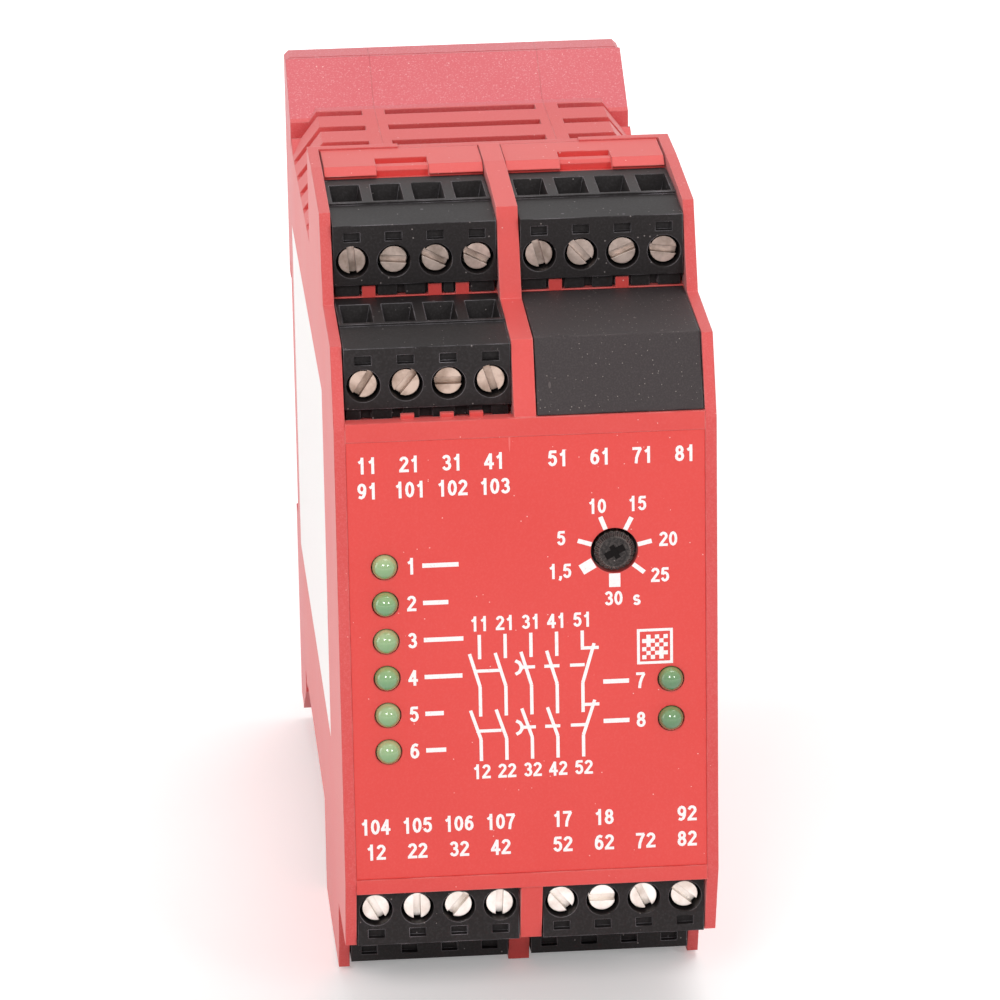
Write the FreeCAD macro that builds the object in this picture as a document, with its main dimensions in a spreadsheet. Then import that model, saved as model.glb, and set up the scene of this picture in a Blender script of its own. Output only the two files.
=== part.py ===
import FreeCAD, Part
import math
import os
import re
import Sketcher

# Safety relay for a 35 mm rail: stepped plug-in housing, 45 mm wide.
# Every body is drawn with y = 0 at the front plate and z = 0 at the resting
# plane, +x to the right seen from the front, and is then moved back by half the
# overall depth.  All lengths are millimetres.

SIZES = (
    # housing outline, seen from the side
    ("width", 45.0), ("height", 99.0), ("depth", 114.5),
    ("wall", 1.35), ("shell_wall", 2.0), ("touch_gap", 0.1),
    ("step_front", 3.6), ("step_back", 18.6), ("crown_front", 22.8),
    ("front_depth", 49.6), ("bulkhead", 1.4),
    # narrower body behind the stepped front
    ("neck_chamfer", 3.5), ("corner_wall", 1.5), ("rear_chamfer", 0.7),
    ("crest_groove", 0.4),
    # vents
    ("slot_pitch", 8.0), ("slot_width", 2.5),
    ("slot_half", 10.0), ("side_slot_start", 13.0), ("groove_depth", 1.2),
    # rail seat and foot latch
    ("rail_height", 35.0), ("rail_gap", 0.5),
    ("seat_depth", 5.0), ("hook_reach", 2.0), ("hook_groove", 1.4),
    ("latch_width", 12.0), ("latch_wing", 2.0), ("latch_gap", 0.3),
    ("latch_plate", 3.2), ("latch_rail", 1.6), ("latch_nose", 2.0),
    ("latch_travel", 3.5), ("latch_window", 4.6), ("window_bottom", 9.6),
    ("spring_solid", 3.3), ("peg_bottom", 13.4), ("peg_top", 15.2),
    ("spring_radius", 1.5), ("spring_wire", 0.5), ("spring_turns", 4.0),
    # front plate
    ("rib", 2.6), ("plate", 1.8), ("lower_lip", 19.65), ("panel_bottom", 21.5),
    ("panel_inset", 0.15), ("panel_sheet", 0.45), ("tray", 1.5), ("tray_drop", 9.0),
    ("tab_width", 1.6), ("tab_height", 1.3), ("tab_sheet", 0.7),
    # pluggable terminals
    ("plug_face", 2.8),
    ("tier_depth", 18.4), ("tier_rise", 9.8), ("plug_depth", 18.9),
    ("plug_drop", 7.6), ("plug_rise", 0.7), ("plug_brow", 7.8), ("brow_step", 0.3),
    ("plug_chin", 7.4), ("chin_step", 1.5), ("plug_gap", 0.15),
    ("window_width", 2.0), ("window_height", 1.1), ("window_drop", 1.45),
    ("window_depth", 0.8), ("screw_drop", 4.52), ("bore_radius", 2.0),
    ("bore_depth", 3.4), ("shank_bore", 1.45), ("chamber_start", 7.6),
    ("chamber_width", 3.9), ("chamber_half", 2.5), ("funnel_start", 8.4),
    ("funnel_length", 7.7), ("funnel_width", 3.7), ("funnel_taper", 11.0),
    ("head_radius", 1.62), ("head_sink", 0.86), ("head_height", 1.5),
    ("slot_cut", 0.85), ("slot_sink", 0.9), ("shank_radius", 1.25),
    ("shank_length", 8.4),
    ("clamp_width", 3.6), ("clamp_half", 2.3), ("clamp_start", 8.0),
    ("clamp_length", 5.6), ("wire_way", 2.6), ("wire_start", 9.8),
    ("leaf", 0.5), ("leaf_half", 1.1), ("leaf_length", 4.4),
    ("pin", 1.0), ("pin_slack", 0.1), ("pin_reach", 6.2), ("pin_window", 2.0),
    ("header_half", 3.2), ("header_margin", 1.0), ("header_depth", 3.0),
    # hoods over the upper and lower bays, blank cover
    ("hood_drop", 0.2), ("hood_sheet", 1.5), ("hood_lip_drop", 0.85),
    ("hood_gap", 0.25), ("notch_near", 8.05), ("notch_far", 14.5),
    ("bar_depth", 1.6), ("bar_drop", 0.3), ("cover_sheet", 1.5), ("cover_foot", 0.3),
    ("cover_leg", 7.5),
    # indicators and timing dial
    ("light_radius", 1.5), ("light_proud", 1.2), ("light_gap", 0.1),
    ("left_lights_pitch", 4.65), ("right_lights_pitch", 5.0),
    ("dial_hole", 2.8), ("knob_radius", 2.42),
    ("knob_top", 1.9), ("knob_proud", 0.4), ("knob_depth", 2.6),
    ("knob_slot", 0.8), ("shaft_radius", 1.2), ("shaft_gap", 0.05),
    ("dial_body", 7.0), ("shaft_stop", 0.45), ("knob_clear", 0.3),
    # printed boards and what they carry
    ("board", 1.6), ("board_edge", 1.0), ("front_board", 8.0),
    ("front_board_bottom", 24.0), ("post_radius", 1.6), ("post_inset", 3.0),
    ("core_length", 24.0), ("core_height", 20.0), ("core_bottom", 18.0),
    ("coil_length", 15.0), ("coil_margin", 2.0), ("coil_bulge", 2.5),
    ("relay_length", 28.0), ("relay_height", 15.0), ("relay_bottom", 20.0),
    ("relay_gap", 4.0), ("can_radius", 5.0), ("can_length", 14.0), ("can_gap", 2.0),
    # type label field on the left wall
    ("label_front", 28.0), ("label_bottom", 29.5), ("label_sheet", 0.2),
)

# Places that follow the housing when it grows: levels of the upper half hang
# from its top, and the lower half mirrors them.
TIED = (
    ("face_level", "height - 21.0"), ("step_front_level", "height - 11.7"),
    ("step_level", "height - 11.1"), ("crown_level", "height - 0.8"),
    ("neck_level", "height - 8.0"), ("neck_wall_level", "height - 12.5"),
    ("rear_level", "height - 3.2"), ("rib_back", "height - 3.5"),
    ("upper_lip", "height - 20.2"), ("panel_top", "height - 22.5"),
    ("plug_line", "height - 11.9"), ("left_lights_top", "height - 38.0"),
    ("right_lights_top", "height - 53.5"), ("dial_z", "height - 37.1"),
    ("front_board_top", "height - 25.0"), ("can_level", "height - 29.0"),
    ("label_top", "height - 24.5"), ("rail_centre", "height / 2"),
    # the foot latch's window leaves its spring room at full travel
    ("window_top", "peg_top + latch_travel + spring_solid"),
    # along the depth, from the rear face or from the back of the stepped front
    ("rear_foot", "depth - 20.5"), ("rear_crest", "depth - 5.0"),
    ("slot_last", "depth - 16.5"), ("label_back", "depth - 11.5"),
    ("core_front", "depth - 42.5"), ("can_front", "front_depth + 10.4"),
    ("relay_front", "front_depth + 0.4"), ("crown_crease", "front_depth - 8.6"),
    ("hood_lip", "front_depth - 9.7"), ("hood_crease", "front_depth - 8.1"),
    ("notch_back", "front_depth - 4.6"),
    # across the width
    ("inner_width", "width / 2 - wall"),
    ("pole_pitch", "(inner_width - rib / 2 + plug_gap) / 4"),
    ("lights_x", "inner_width - 4.25"), ("dial_x", "inner_width - 10.85"),
    ("front_board_half", "inner_width - 2.15"), ("post_x", "front_board_half - 1.0"),
    ("board_x", "width / 2 - neck_chamfer - corner_wall - board - 0.7"),
    ("core_width", "board_x + 1.8"), ("relay_width", "board_x - 3.2"),
)
NAMES = {name for name, size in SIZES + TIED}

doc = FreeCAD.newDocument("safety_relay")
sheet = doc.addObject("Spreadsheet::Sheet", "Sizes")
for row, (name, size) in enumerate(SIZES + TIED, start=1):
    sheet.set(f"A{row}", name)
    sheet.setAlias(f"B{row}", name)
    sheet.set(f"B{row}", f"={size}")
doc.recompute()

nodes = []


def bound(text):
    """Writes a plain formula as one that reads its sizes from the sheet."""
    return re.sub(r"[a-z][a-z_]*",
                  lambda word: "Sizes." + word.group() if word.group() in NAMES else word.group(),
                  str(text))


def value(text):
    return float(sheet.evalExpression(bound(text)))


def place(item, label):
    """Names a finished piece and moves it back to the row's own frame."""
    item.Label = label
    item.setExpression("Placement.Base.y", bound("(light_proud - depth) / 2"))
    nodes.append(item)
    return item


def body(label):
    piece = doc.addObject("PartDesign::Body", label)
    piece.AllowCompound = True
    return place(piece, label)


def mirrored(points):
    """The same outline turned over about the housing's mid-height."""
    return [(along, f"height - ({level})") for along, level in reversed(points)]


def beside(side, near, far):
    """A span across the width, on one side of the centre plane."""
    return (near, far) if side > 0 else (f"-({far})", f"-({near})")


def rectangle(low, high):
    return [(low[0], low[1]), (high[0], low[1]), (high[0], high[1]), (low[0], high[1])]


def sketch(piece, plane, offset, loops):
    """A sketch parallel to one of the body's own planes.

    A loop of points is a polygon, and (x, y, radius) is a circle."""
    drawing = piece.newObject("Sketcher::SketchObject", "outline")
    base = [item for item in piece.Origin.OriginFeatures if item.Role == plane][0]
    drawing.AttachmentSupport = [(base, "")]
    drawing.MapMode = "FlatFace"
    drawing.setExpression("AttachmentOffset.Base.z", bound(offset))
    for loop in loops:
        if len(loop) == 3 and not isinstance(loop[0], tuple):
            draw_circle(drawing, *loop)
        else:
            draw_polygon(drawing, loop)
    return drawing


def pin_point(drawing, edge, point, across, along):
    """Ties one sketch point to its formulas."""
    for kind, formula, axis in (("DistanceX", across, -2), ("DistanceY", along, -1)):
        if abs(value(formula)) < 1e-9:
            drawing.addConstraint(Sketcher.Constraint("PointOnObject", edge, point, axis))
            continue
        number = drawing.addConstraint(
            Sketcher.Constraint(kind, -1, 1, edge, point, value(formula)))
        drawing.setExpression(f"Constraints[{number}]", bound(formula))


def draw_circle(drawing, across, along, radius):
    centre = FreeCAD.Vector(value(across), value(along), 0)
    normal = FreeCAD.Vector(0, 0, 1)
    edge = drawing.addGeometry(Part.Circle(centre, normal, value(radius)))
    pin_point(drawing, edge, 3, across, along)
    number = drawing.addConstraint(Sketcher.Constraint("Radius", edge, value(radius)))
    drawing.setExpression(f"Constraints[{number}]", bound(radius))


def draw_polygon(drawing, loop):
    corners = [FreeCAD.Vector(value(across), value(along), 0) for across, along in loop]
    first = drawing.GeometryCount
    for start, end in zip(corners, corners[1:] + corners[:1]):
        drawing.addGeometry(Part.LineSegment(start, end))
    for number, (across, along) in enumerate(loop):
        following = (number + 1) % len(loop)
        drawing.addConstraint(Sketcher.Constraint("Coincident", first + number, 2,
                                                  first + following, 1))
        pin_point(drawing, first + number, 1, across, along)


# Each body plane: the sign that turns a place along its axis into an offset
# along the plane's normal.
PLANES = {"x": ("YZ_Plane", 1), "y": ("XZ_Plane", -1), "z": ("XY_Plane", 1)}


def slab(piece, kind, axis, low, high, loops):
    """Pads or pockets outlines between two places along one axis."""
    plane, sign = PLANES[axis]
    feature = piece.newObject("PartDesign::" + kind, kind.lower())
    feature.Profile = sketch(piece, plane, f"{sign} * (({low}) + ({high})) / 2", loops)
    feature.SideType = "Symmetric"
    feature.setExpression("Length", bound(f"({high}) - ({low})"))
    doc.recompute()
    if not feature.isValid() or feature.Shape.isNull():
        raise RuntimeError(f"{piece.Label}: {feature.Name} failed")
    return feature


def pad(piece, axis, low, high, loops):
    return slab(piece, "Pad", axis, low, high, loops)


def pocket(piece, axis, low, high, loops):
    before = piece.Shape.Volume
    feature = slab(piece, "Pocket", axis, low, high, loops)
    if feature.Shape.Volume > before - 1e-6:
        raise RuntimeError(f"{piece.Label}: {feature.Name} cuts nothing")
    return feature


# ---------------------------------------------------------------- side profile

STEP = [("0", "face_level"), ("step_front", "step_front_level"), ("step_back", "step_level"),
        ("crown_front", "crown_level"), ("crown_crease", "height")]
STEPPED_SIDE = STEP + [("front_depth", "height")] + mirrored(STEP + [("front_depth", "height")])

SEAT = "depth - seat_depth"
SLOT_TOP = "rail_centre + rail_height / 2 + rail_gap"
SLOT_BOTTOM = "rail_centre - rail_height / 2 - rail_gap"
HOOK_BACK = "depth - seat_depth + hook_groove"
HOOK_LEVEL = "rail_centre + rail_height / 2 - hook_reach"


def rear_outline(crown):
    """Neck, rear block and rail slot seen from the side, up to the given crown."""
    upper = [("front_depth", crown), ("front_depth + bulkhead", crown)]
    block = [("rear_crest", "rear_level"), ("depth", "rear_level")]
    slot = [("depth", HOOK_LEVEL), (HOOK_BACK, HOOK_LEVEL), (HOOK_BACK, SLOT_TOP),
            (SEAT, SLOT_TOP), (SEAT, SLOT_BOTTOM), ("depth", SLOT_BOTTOM)]
    return upper, block, slot


CREASE = ("rear_foot + (rear_crest - rear_foot) * (neck_level - neck_wall_level)"
          " / (rear_level - neck_wall_level)")


def shell_side(crown, shoulder, foot):
    upper, block, slot = rear_outline(crown)
    top = upper + [("front_depth + bulkhead", shoulder), (foot, shoulder)] + block
    return top + slot + mirrored(top)


CAVITY_BACK = "depth - seat_depth - shell_wall"
CAVITY_DEEP = "depth - shell_wall"
INNER_TOP = "neck_level - shell_wall"


def cavity(top, deep_foot=True):
    """Hollow inside a shell; it runs deeper above the rail seat, and below it too."""
    front, low = "front_depth - bulkhead", f"height - ({top})"
    foot = [(CAVITY_BACK, low)]
    if deep_foot:
        foot = [(CAVITY_DEEP, low), (CAVITY_DEEP, f"{SLOT_BOTTOM} - shell_wall"),
                (CAVITY_BACK, f"{SLOT_BOTTOM} - shell_wall")]
    crown = [(CAVITY_BACK, f"{SLOT_TOP} + shell_wall"),
             (CAVITY_DEEP, f"{SLOT_TOP} + shell_wall"), (CAVITY_DEEP, top)]
    return [(front, low)] + foot + crown + [(front, top)]


def vent_rows():
    """Front and back edge of each vent slot, from the rear forwards."""
    count = int((value("slot_last") - value("front_depth + bulkhead")) // value("slot_pitch")) + 1
    for number in range(count):
        middle = f"slot_last - {number} * slot_pitch"
        yield f"{middle} - slot_width / 2", f"{middle} + slot_width / 2"


SEAM_CUT = "width / 4 - touch_gap"


def side_shell(label, side):
    """One outer shell: thin stepped wall, chamfered neck, vents and rear block."""
    shell = body(label)
    seam, outer, inner = "width / 4", "width / 2", "width / 2 - wall"
    ridge = "width / 2 - neck_chamfer"
    pad(shell, "x", *beside(side, inner, outer), [STEPPED_SIDE])
    pad(shell, "x", *beside(side, seam, outer),
        [shell_side("height", "neck_wall_level", "rear_foot")])
    brow = [(f"{side} * ({outer})", "neck_wall_level"), (f"{side} * ({ridge})", "neck_level"),
            (f"{side} * {seam}", "neck_level"), (f"{side} * {seam}", "neck_wall_level")]
    pad(shell, "y", "front_depth", f"{CREASE} + touch_gap", [brow, mirrored(brow)])
    pocket(shell, "x", *beside(side, SEAM_CUT, inner),
           [cavity("neck_wall_level - corner_wall")])
    pocket(shell, "x", *beside(side, SEAM_CUT, f"{ridge} - corner_wall"),
           [cavity(INNER_TOP)])
    side_vents(shell, side, ridge)
    corner = [(f"{side} * (width / 2 - rear_chamfer)", "rear_level + touch_gap"),
              (f"{side} * (width / 2 + touch_gap)", "rear_level + touch_gap"),
              (f"{side} * (width / 2 + touch_gap)", "rear_level - rear_chamfer")]
    pocket(shell, "y", "rear_crest", "depth + touch_gap", [corner, mirrored(corner)])
    cut_crest(shell, *beside(side, SEAM_CUT, "width"))
    return shell


def cut_crest(shell, low, high):
    """Fine groove across the rear block's top and bottom, just behind their crests."""
    groove = rectangle(("rear_crest + crest_groove", "rear_level - crest_groove / 2"),
                       ("rear_crest + 2 * crest_groove", "rear_level + touch_gap"))
    pocket(shell, "x", low, high, [groove, mirrored(groove)])


def side_vents(shell, side, ridge):
    """Slots through the neck's top and bottom that run out as grooves in its chamfers."""
    rise = "(neck_level - neck_wall_level)"
    slant = f"sqrt(pow(neck_chamfer; 2) + pow({rise}; 2))"
    groove = [(f"{side} * width", "neck_wall_level"),
              (f"{side} * (width / 2 - groove_depth * {slant} / {rise})", "neck_wall_level"),
              (f"{side} * ({ridge})", f"neck_level - groove_depth * {slant} / neck_chamfer"),
              (f"{side} * ({ridge})", "height"), (f"{side} * width", "height")]
    low, high = beside(side, "side_slot_start", ridge)
    slots = [rectangle((low, front), (high, back)) for front, back in vent_rows()]
    cut_vents(shell, slots)
    for front, back in vent_rows():
        pocket(shell, "y", front, back, [groove, mirrored(groove)])


def cut_vents(shell, slots):
    pocket(shell, "z", f"{INNER_TOP} - touch_gap", "neck_level + touch_gap", slots)
    pocket(shell, "z", "height - neck_level - touch_gap",
           f"height - ({INNER_TOP}) + touch_gap", slots)


def centre_shell():
    """Middle shell: carries the rail's fixed hook and the foot latch's channel."""
    shell = body("centre_shell")
    low, high = "-(width / 4)", "width / 4"
    pad(shell, "x", low, high, [shell_side("height - hood_drop", "neck_level", CREASE)])
    pocket(shell, "x", f"{low} - touch_gap", f"{high} + touch_gap",
           [cavity(INNER_TOP, deep_foot=False)])
    cut_vents(shell, [rectangle(("-slot_half", front), ("slot_half", back))
                      for front, back in vent_rows()])
    cut_crest(shell, f"{low} - touch_gap", f"{high} + touch_gap")
    stem = "latch_width / 2 + latch_gap"
    below, above = "-touch_gap", f"{SLOT_BOTTOM} + touch_gap"
    pocket(shell, "y", SEAT, "depth + touch_gap",
           [rectangle((f"-({stem})", below), (stem, above))])
    pocket(shell, "y", SEAT, f"{SEAT} + latch_rail + 2 * latch_gap",
           [rectangle((f"-({stem} + latch_wing)", below), (f"{stem} + latch_wing", above))])
    peg = "latch_window / 2 - latch_gap"
    pad(shell, "y", f"{SEAT} - touch_gap", f"{SEAT} + latch_plate + latch_gap",
        [rectangle((f"-({peg})", "peg_bottom"), (peg, "peg_top"))])
    return shell


# ---------------------------------------------------------------- foot latch

PLATE_FRONT = f"{SEAT} + latch_gap"
PLATE_BACK = f"{SEAT} + latch_gap + latch_plate"


def rail_foot():
    """Sliding latch behind the rail's lower flange, with a pull tab at its foot."""
    latch = body("rail_foot_latch")
    half = "latch_width / 2"
    pad(latch, "y", PLATE_FRONT, PLATE_BACK,
        [rectangle((f"-({half})", "0"), (half, SLOT_BOTTOM))])
    wing = f"{half} + latch_wing"
    pad(latch, "y", PLATE_FRONT, f"{PLATE_FRONT} + latch_rail",
        [rectangle((f"-({wing})", "height - rear_level"), (wing, f"{SLOT_BOTTOM} - latch_gap"))])
    nose = [(HOOK_BACK, f"{SLOT_BOTTOM} - touch_gap"), (PLATE_BACK, f"{SLOT_BOTTOM} - touch_gap"),
            (PLATE_BACK, f"{SLOT_BOTTOM} + rail_gap"),
            (HOOK_BACK, f"{SLOT_BOTTOM} + rail_gap + latch_nose")]
    pad(latch, "x", f"-({half})", half, [nose])
    window = "latch_window / 2"
    pocket(latch, "y", f"{PLATE_FRONT} - touch_gap", f"{PLATE_BACK} + touch_gap",
           [rectangle((f"-({window})", "window_bottom"), (window, "window_top"))])
    pocket(latch, "y", f"{PLATE_BACK} - latch_plate / 2", f"{PLATE_BACK} + touch_gap",
           [rectangle((f"-({half} - wall)", "wall"), (f"{half} - wall", "2 * wall"))])
    return latch


def latch_spring():
    """Compression spring between the fixed peg and the latch window's top edge."""
    length = value("window_top - peg_top")
    wire = value("spring_wire") / 2
    turns = value("spring_turns")
    path = Part.makeHelix((length - 2 * wire) / turns, length - 2 * wire,
                          value("spring_radius") - wire)
    start = FreeCAD.Vector(value("spring_radius") - wire, 0, 0)
    section = Part.Wire(Part.Circle(start, FreeCAD.Vector(0, 1, 0), wire).toShape())
    coil = Part.Wire(path).makePipeShell([section], True, True)
    spring = doc.addObject("Part::Feature", "latch_spring")
    spring.Shape = coil
    place(spring, "latch_spring")
    middle = f"({PLATE_FRONT} + {PLATE_BACK}) / 2"
    spring.setExpression("Placement.Base.y", bound(f"{middle} + (light_proud - depth) / 2"))
    spring.setExpression("Placement.Base.z", bound("peg_top + spring_wire / 2"))
    return spring


# ---------------------------------------------------------------- front frame

FLOOR = "plug_line - tray_drop"
BAY_BACK = "plug_face + plug_depth + plug_gap"
HOOD_UNDER = "height - hood_drop - hood_sheet"


def tray(lip):
    """Stepped wall that forms the floors and backs of two tiers of plug bays."""
    outer = [("0", lip), ("plate", lip), ("plate", FLOOR), (BAY_BACK, FLOOR),
             (BAY_BACK, f"{FLOOR} + tier_rise"),
             (f"{BAY_BACK} + tier_depth", f"{FLOOR} + tier_rise"),
             (f"{BAY_BACK} + tier_depth", HOOD_UNDER)]
    inner = [(f"{BAY_BACK} + tier_depth + tray", HOOD_UNDER),
             (f"{BAY_BACK} + tier_depth + tray", f"{FLOOR} + tier_rise - tray"),
             (f"{BAY_BACK} + tray", f"{FLOOR} + tier_rise - tray"),
             (f"{BAY_BACK} + tray", f"{FLOOR} - tray"), ("plate", f"{FLOOR} - tray")]
    return outer + inner


def rib_side():
    """Centre rib above the trays: the same stepped edge as the outer walls."""
    under = [("front_depth - touch_gap", "rib_back"),
             (f"{BAY_BACK} + tier_depth + tray", "rib_back"),
             (f"{BAY_BACK} + tier_depth + tray", f"{FLOOR} + tier_rise - tray"),
             (f"{BAY_BACK} + tray", f"{FLOOR} + tier_rise - tray"),
             (f"{BAY_BACK} + tray", f"{FLOOR} - tray"), ("0", f"{FLOOR} - tray")]
    return STEP + [("front_depth - touch_gap", "height")] + under


def pole_places(side):
    """Centre of each of the four poles in a bay left or right of the rib."""
    middle = f"{side} * (rib / 2 + inner_width) / 2"
    return [f"{middle} + {number} * pole_pitch" for number in (-1.5, -0.5, 0.5, 1.5)]


def square(across, along, size):
    return rectangle((f"{across} - ({size}) / 2", f"{along} - ({size}) / 2"),
                     (f"{across} + ({size}) / 2", f"{along} + ({size}) / 2"))


def light_places():
    left = [("-lights_x", f"left_lights_top - {number} * left_lights_pitch")
            for number in range(6)]
    right = [("lights_x", f"right_lights_top - {number} * right_lights_pitch")
             for number in range(2)]
    return left + right


def front_holes():
    lights = [(across, level, "light_radius + light_gap") for across, level in light_places()]
    return lights + [("dial_x", "dial_z", "dial_hole")]


def front_frame():
    """Front plate, two tiers of trays above and below it, and the centre rib."""
    frame = body("front_frame")
    ring = tray("upper_lip") + mirrored(tray("height - lower_lip"))
    pad(frame, "x", f"-inner_width", "inner_width", [ring])
    pad(frame, "x", "-rib / 2", "rib / 2", [rib_side(), mirrored(rib_side())])
    pocket(frame, "y", "-touch_gap", "panel_inset + panel_sheet",
           [rectangle((f"-(inner_width + touch_gap)", "panel_bottom"),
                      (f"inner_width + touch_gap", "panel_top"))])
    pocket(frame, "y", "0", "plate + touch_gap", front_holes())
    for depth_shift, level in (("0", "plug_line"), ("tier_depth", "plug_line + tier_rise")):
        windows = [square(across, f"{level} - screw_drop", "pin_window")
                   for side in (-1, 1) for across in pole_places(side)]
        low = f"{BAY_BACK} + {depth_shift} - touch_gap"
        high = f"{BAY_BACK} + {depth_shift} + tray + touch_gap"
        pocket(frame, "y", low, high, windows)
        pocket(frame, "y", low, high, [mirrored(window) for window in windows])
    posts = [(across, level, "post_radius") for across in ("-post_x", "post_x")
             for level in ("front_board_bottom + post_inset", "front_board_top - post_inset")]
    pad(frame, "y", "plate - touch_gap", "front_board", posts)
    coding_tabs(frame)
    return frame


# Left edge of each coding tab, measured from its bay's left wall in pole pitches.
TABS = {("upper", -1): (0.71, 2.3, 2.96), ("upper", 1): (0.71, 2.32),
        ("lower", -1): (1.32, 2.25, 2.94)}


def coding_tabs(frame):
    """Small upright tabs at the front edge of the upper trays."""
    for (tier, side), starts in TABS.items():
        left_wall = f"-inner_width" if side < 0 else "rib / 2"
        shift, rise = ("tier_depth", "tier_rise") if tier == "upper" else ("0", "0")
        front = f"{BAY_BACK} + {shift} - tier_depth" if tier == "upper" else "plate - tab_sheet"
        base = f"{FLOOR} + {rise}"
        edges = [f"{left_wall} + {start} * pole_pitch" for start in starts]
        tabs = [rectangle((edge, f"{base} - touch_gap"),
                          (f"{edge} + tab_width", f"{base} + tab_height")) for edge in edges]
        pad(frame, "y", front, f"{front} + tab_sheet", tabs)


def front_panel():
    """Thin printed plate let into the front frame."""
    panel = body("front_panel")
    pad(panel, "y", "panel_inset", "panel_inset + panel_sheet",
        [rectangle(("-inner_width", "panel_bottom"), ("inner_width", "panel_top"))])
    pocket(panel, "y", "0", "plate", front_holes())
    return panel


# ---------------------------------------------------------------- hoods and cover

def hood(label, side, turned):
    """Clip-on hood over a rear plug bay, with a notch for the release lever."""
    cap = body(label)
    low, high = beside(side, "rib / 2 + hood_gap / 2", f"inner_width - hood_gap")
    crown = "height - hood_drop"
    lip = f"{crown} - hood_lip_drop"
    side_view = [("hood_lip", lip), ("hood_crease", crown),
                 ("front_depth - touch_gap", crown),
                 ("front_depth - touch_gap", HOOD_UNDER),
                 (f"{BAY_BACK} + tier_depth + touch_gap", HOOD_UNDER),
                 (f"{BAY_BACK} + tier_depth + touch_gap", lip)]
    notch = rectangle(("hood_lip - touch_gap", f"{HOOD_UNDER} + hood_sheet / 3"),
                      ("notch_back", f"{crown} + touch_gap"))
    slot = rectangle(("hood_lip - touch_gap", f"{HOOD_UNDER} - touch_gap"),
                     ("notch_back - 2 * bar_depth", f"{crown} + touch_gap"))
    bar = [("notch_back - 2 * bar_depth - touch_gap", HOOD_UNDER),
           ("notch_back - 2 * bar_depth - touch_gap", f"{crown} - bar_drop - bar_depth / 4"),
           ("notch_back - 7 / 4 * bar_depth", f"{crown} - bar_drop"),
           ("notch_back - bar_depth", f"{crown} - bar_drop"),
           ("notch_back - bar_depth", HOOD_UNDER)]
    place_view = mirrored if turned else list
    pad(cap, "x", low, high, [place_view(side_view)])
    near, far = beside(side, "notch_near", "notch_far")
    pocket(cap, "x", near, far, [place_view(notch)])
    pocket(cap, "x", near, far, [place_view(slot)])
    pad(cap, "x", f"{near} - touch_gap", f"{far} + touch_gap", [place_view(bar)])
    return cap


def blank_cover():
    """Snap-in cover over the unused bay; it follows the stepped wall."""
    cover = body("blank_cover")
    low, high = beside(1, "rib / 2 + plug_gap", f"inner_width - plug_gap")
    back = BAY_BACK + " - plug_gap"
    front_foot = ("cover_foot", "upper_lip + touch_gap")
    outer = [front_foot, ("step_front + cover_foot", "step_front_level + touch_gap"),
             (back, "step_level - touch_gap")]
    inner = [(back, "step_level - touch_gap - cover_leg"),
             (f"{back} - cover_sheet", "step_level - touch_gap - cover_leg"),
             (f"{back} - cover_sheet", "step_level - touch_gap - cover_sheet"),
             ("step_front + cover_foot + cover_sheet / 2",
              "step_front_level + touch_gap - cover_sheet"),
             ("cover_foot + cover_sheet", "upper_lip + touch_gap")]
    pad(cover, "x", low, high, [outer + inner])
    return cover


def side_label():
    """Blank adhesive label let flush into the left wall."""
    label = body("side_label")
    pad(label, "x", "-width / 2", "label_sheet - width / 2", [LABEL])
    return label


LABEL = rectangle(("label_front", "label_bottom"), ("label_back", "label_top"))


# ---------------------------------------------------------------- pluggable terminals

class Bay:
    """Where one plug sits: which side of the rib, which tier, upper or lower half."""

    def __init__(self, name, side, rear, turned, slots):
        self.name, self.side, self.turned, self.slots = name, side, turned, slots
        self.shift, self.rise = ("tier_depth", "tier_rise") if rear else ("0", "0")

    def face(self, inward="0"):
        return f"plug_face + {self.shift} + {inward}"

    def level(self, drop="0"):
        """Height of a line on the plug, measured down from its front edge."""
        height = f"plug_line + {self.rise} - ({drop})"
        return f"height - ({height})" if self.turned else height

    def view(self, points):
        """Side outline given as (inward, drop) pairs."""
        return [(self.face(inward), self.level(drop)) for inward, drop in points]

    def poles(self):
        return pole_places(self.side)

    def width(self):
        return beside(self.side, "rib / 2 + plug_gap", f"inner_width - plug_gap")


BAYS = (
    Bay("top_rear_left", -1, True, False, (95, -5, -27, -27)),
    Bay("top_rear_right", 1, True, False, (-75, -48, 22, -8)),
    Bay("top_front_left", -1, False, False, (57, 50, 0, -72)),
    Bay("bottom_front_left", -1, False, True, (-62, -90, 50, 87)),
    Bay("bottom_front_right", 1, False, True, (-50, 0, -65, -40)),
    Bay("bottom_rear_left", -1, True, True, (10, 35, -80, 60)),
    Bay("bottom_rear_right", 1, True, True, (-20, 75, 40, -55)),
)


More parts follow.
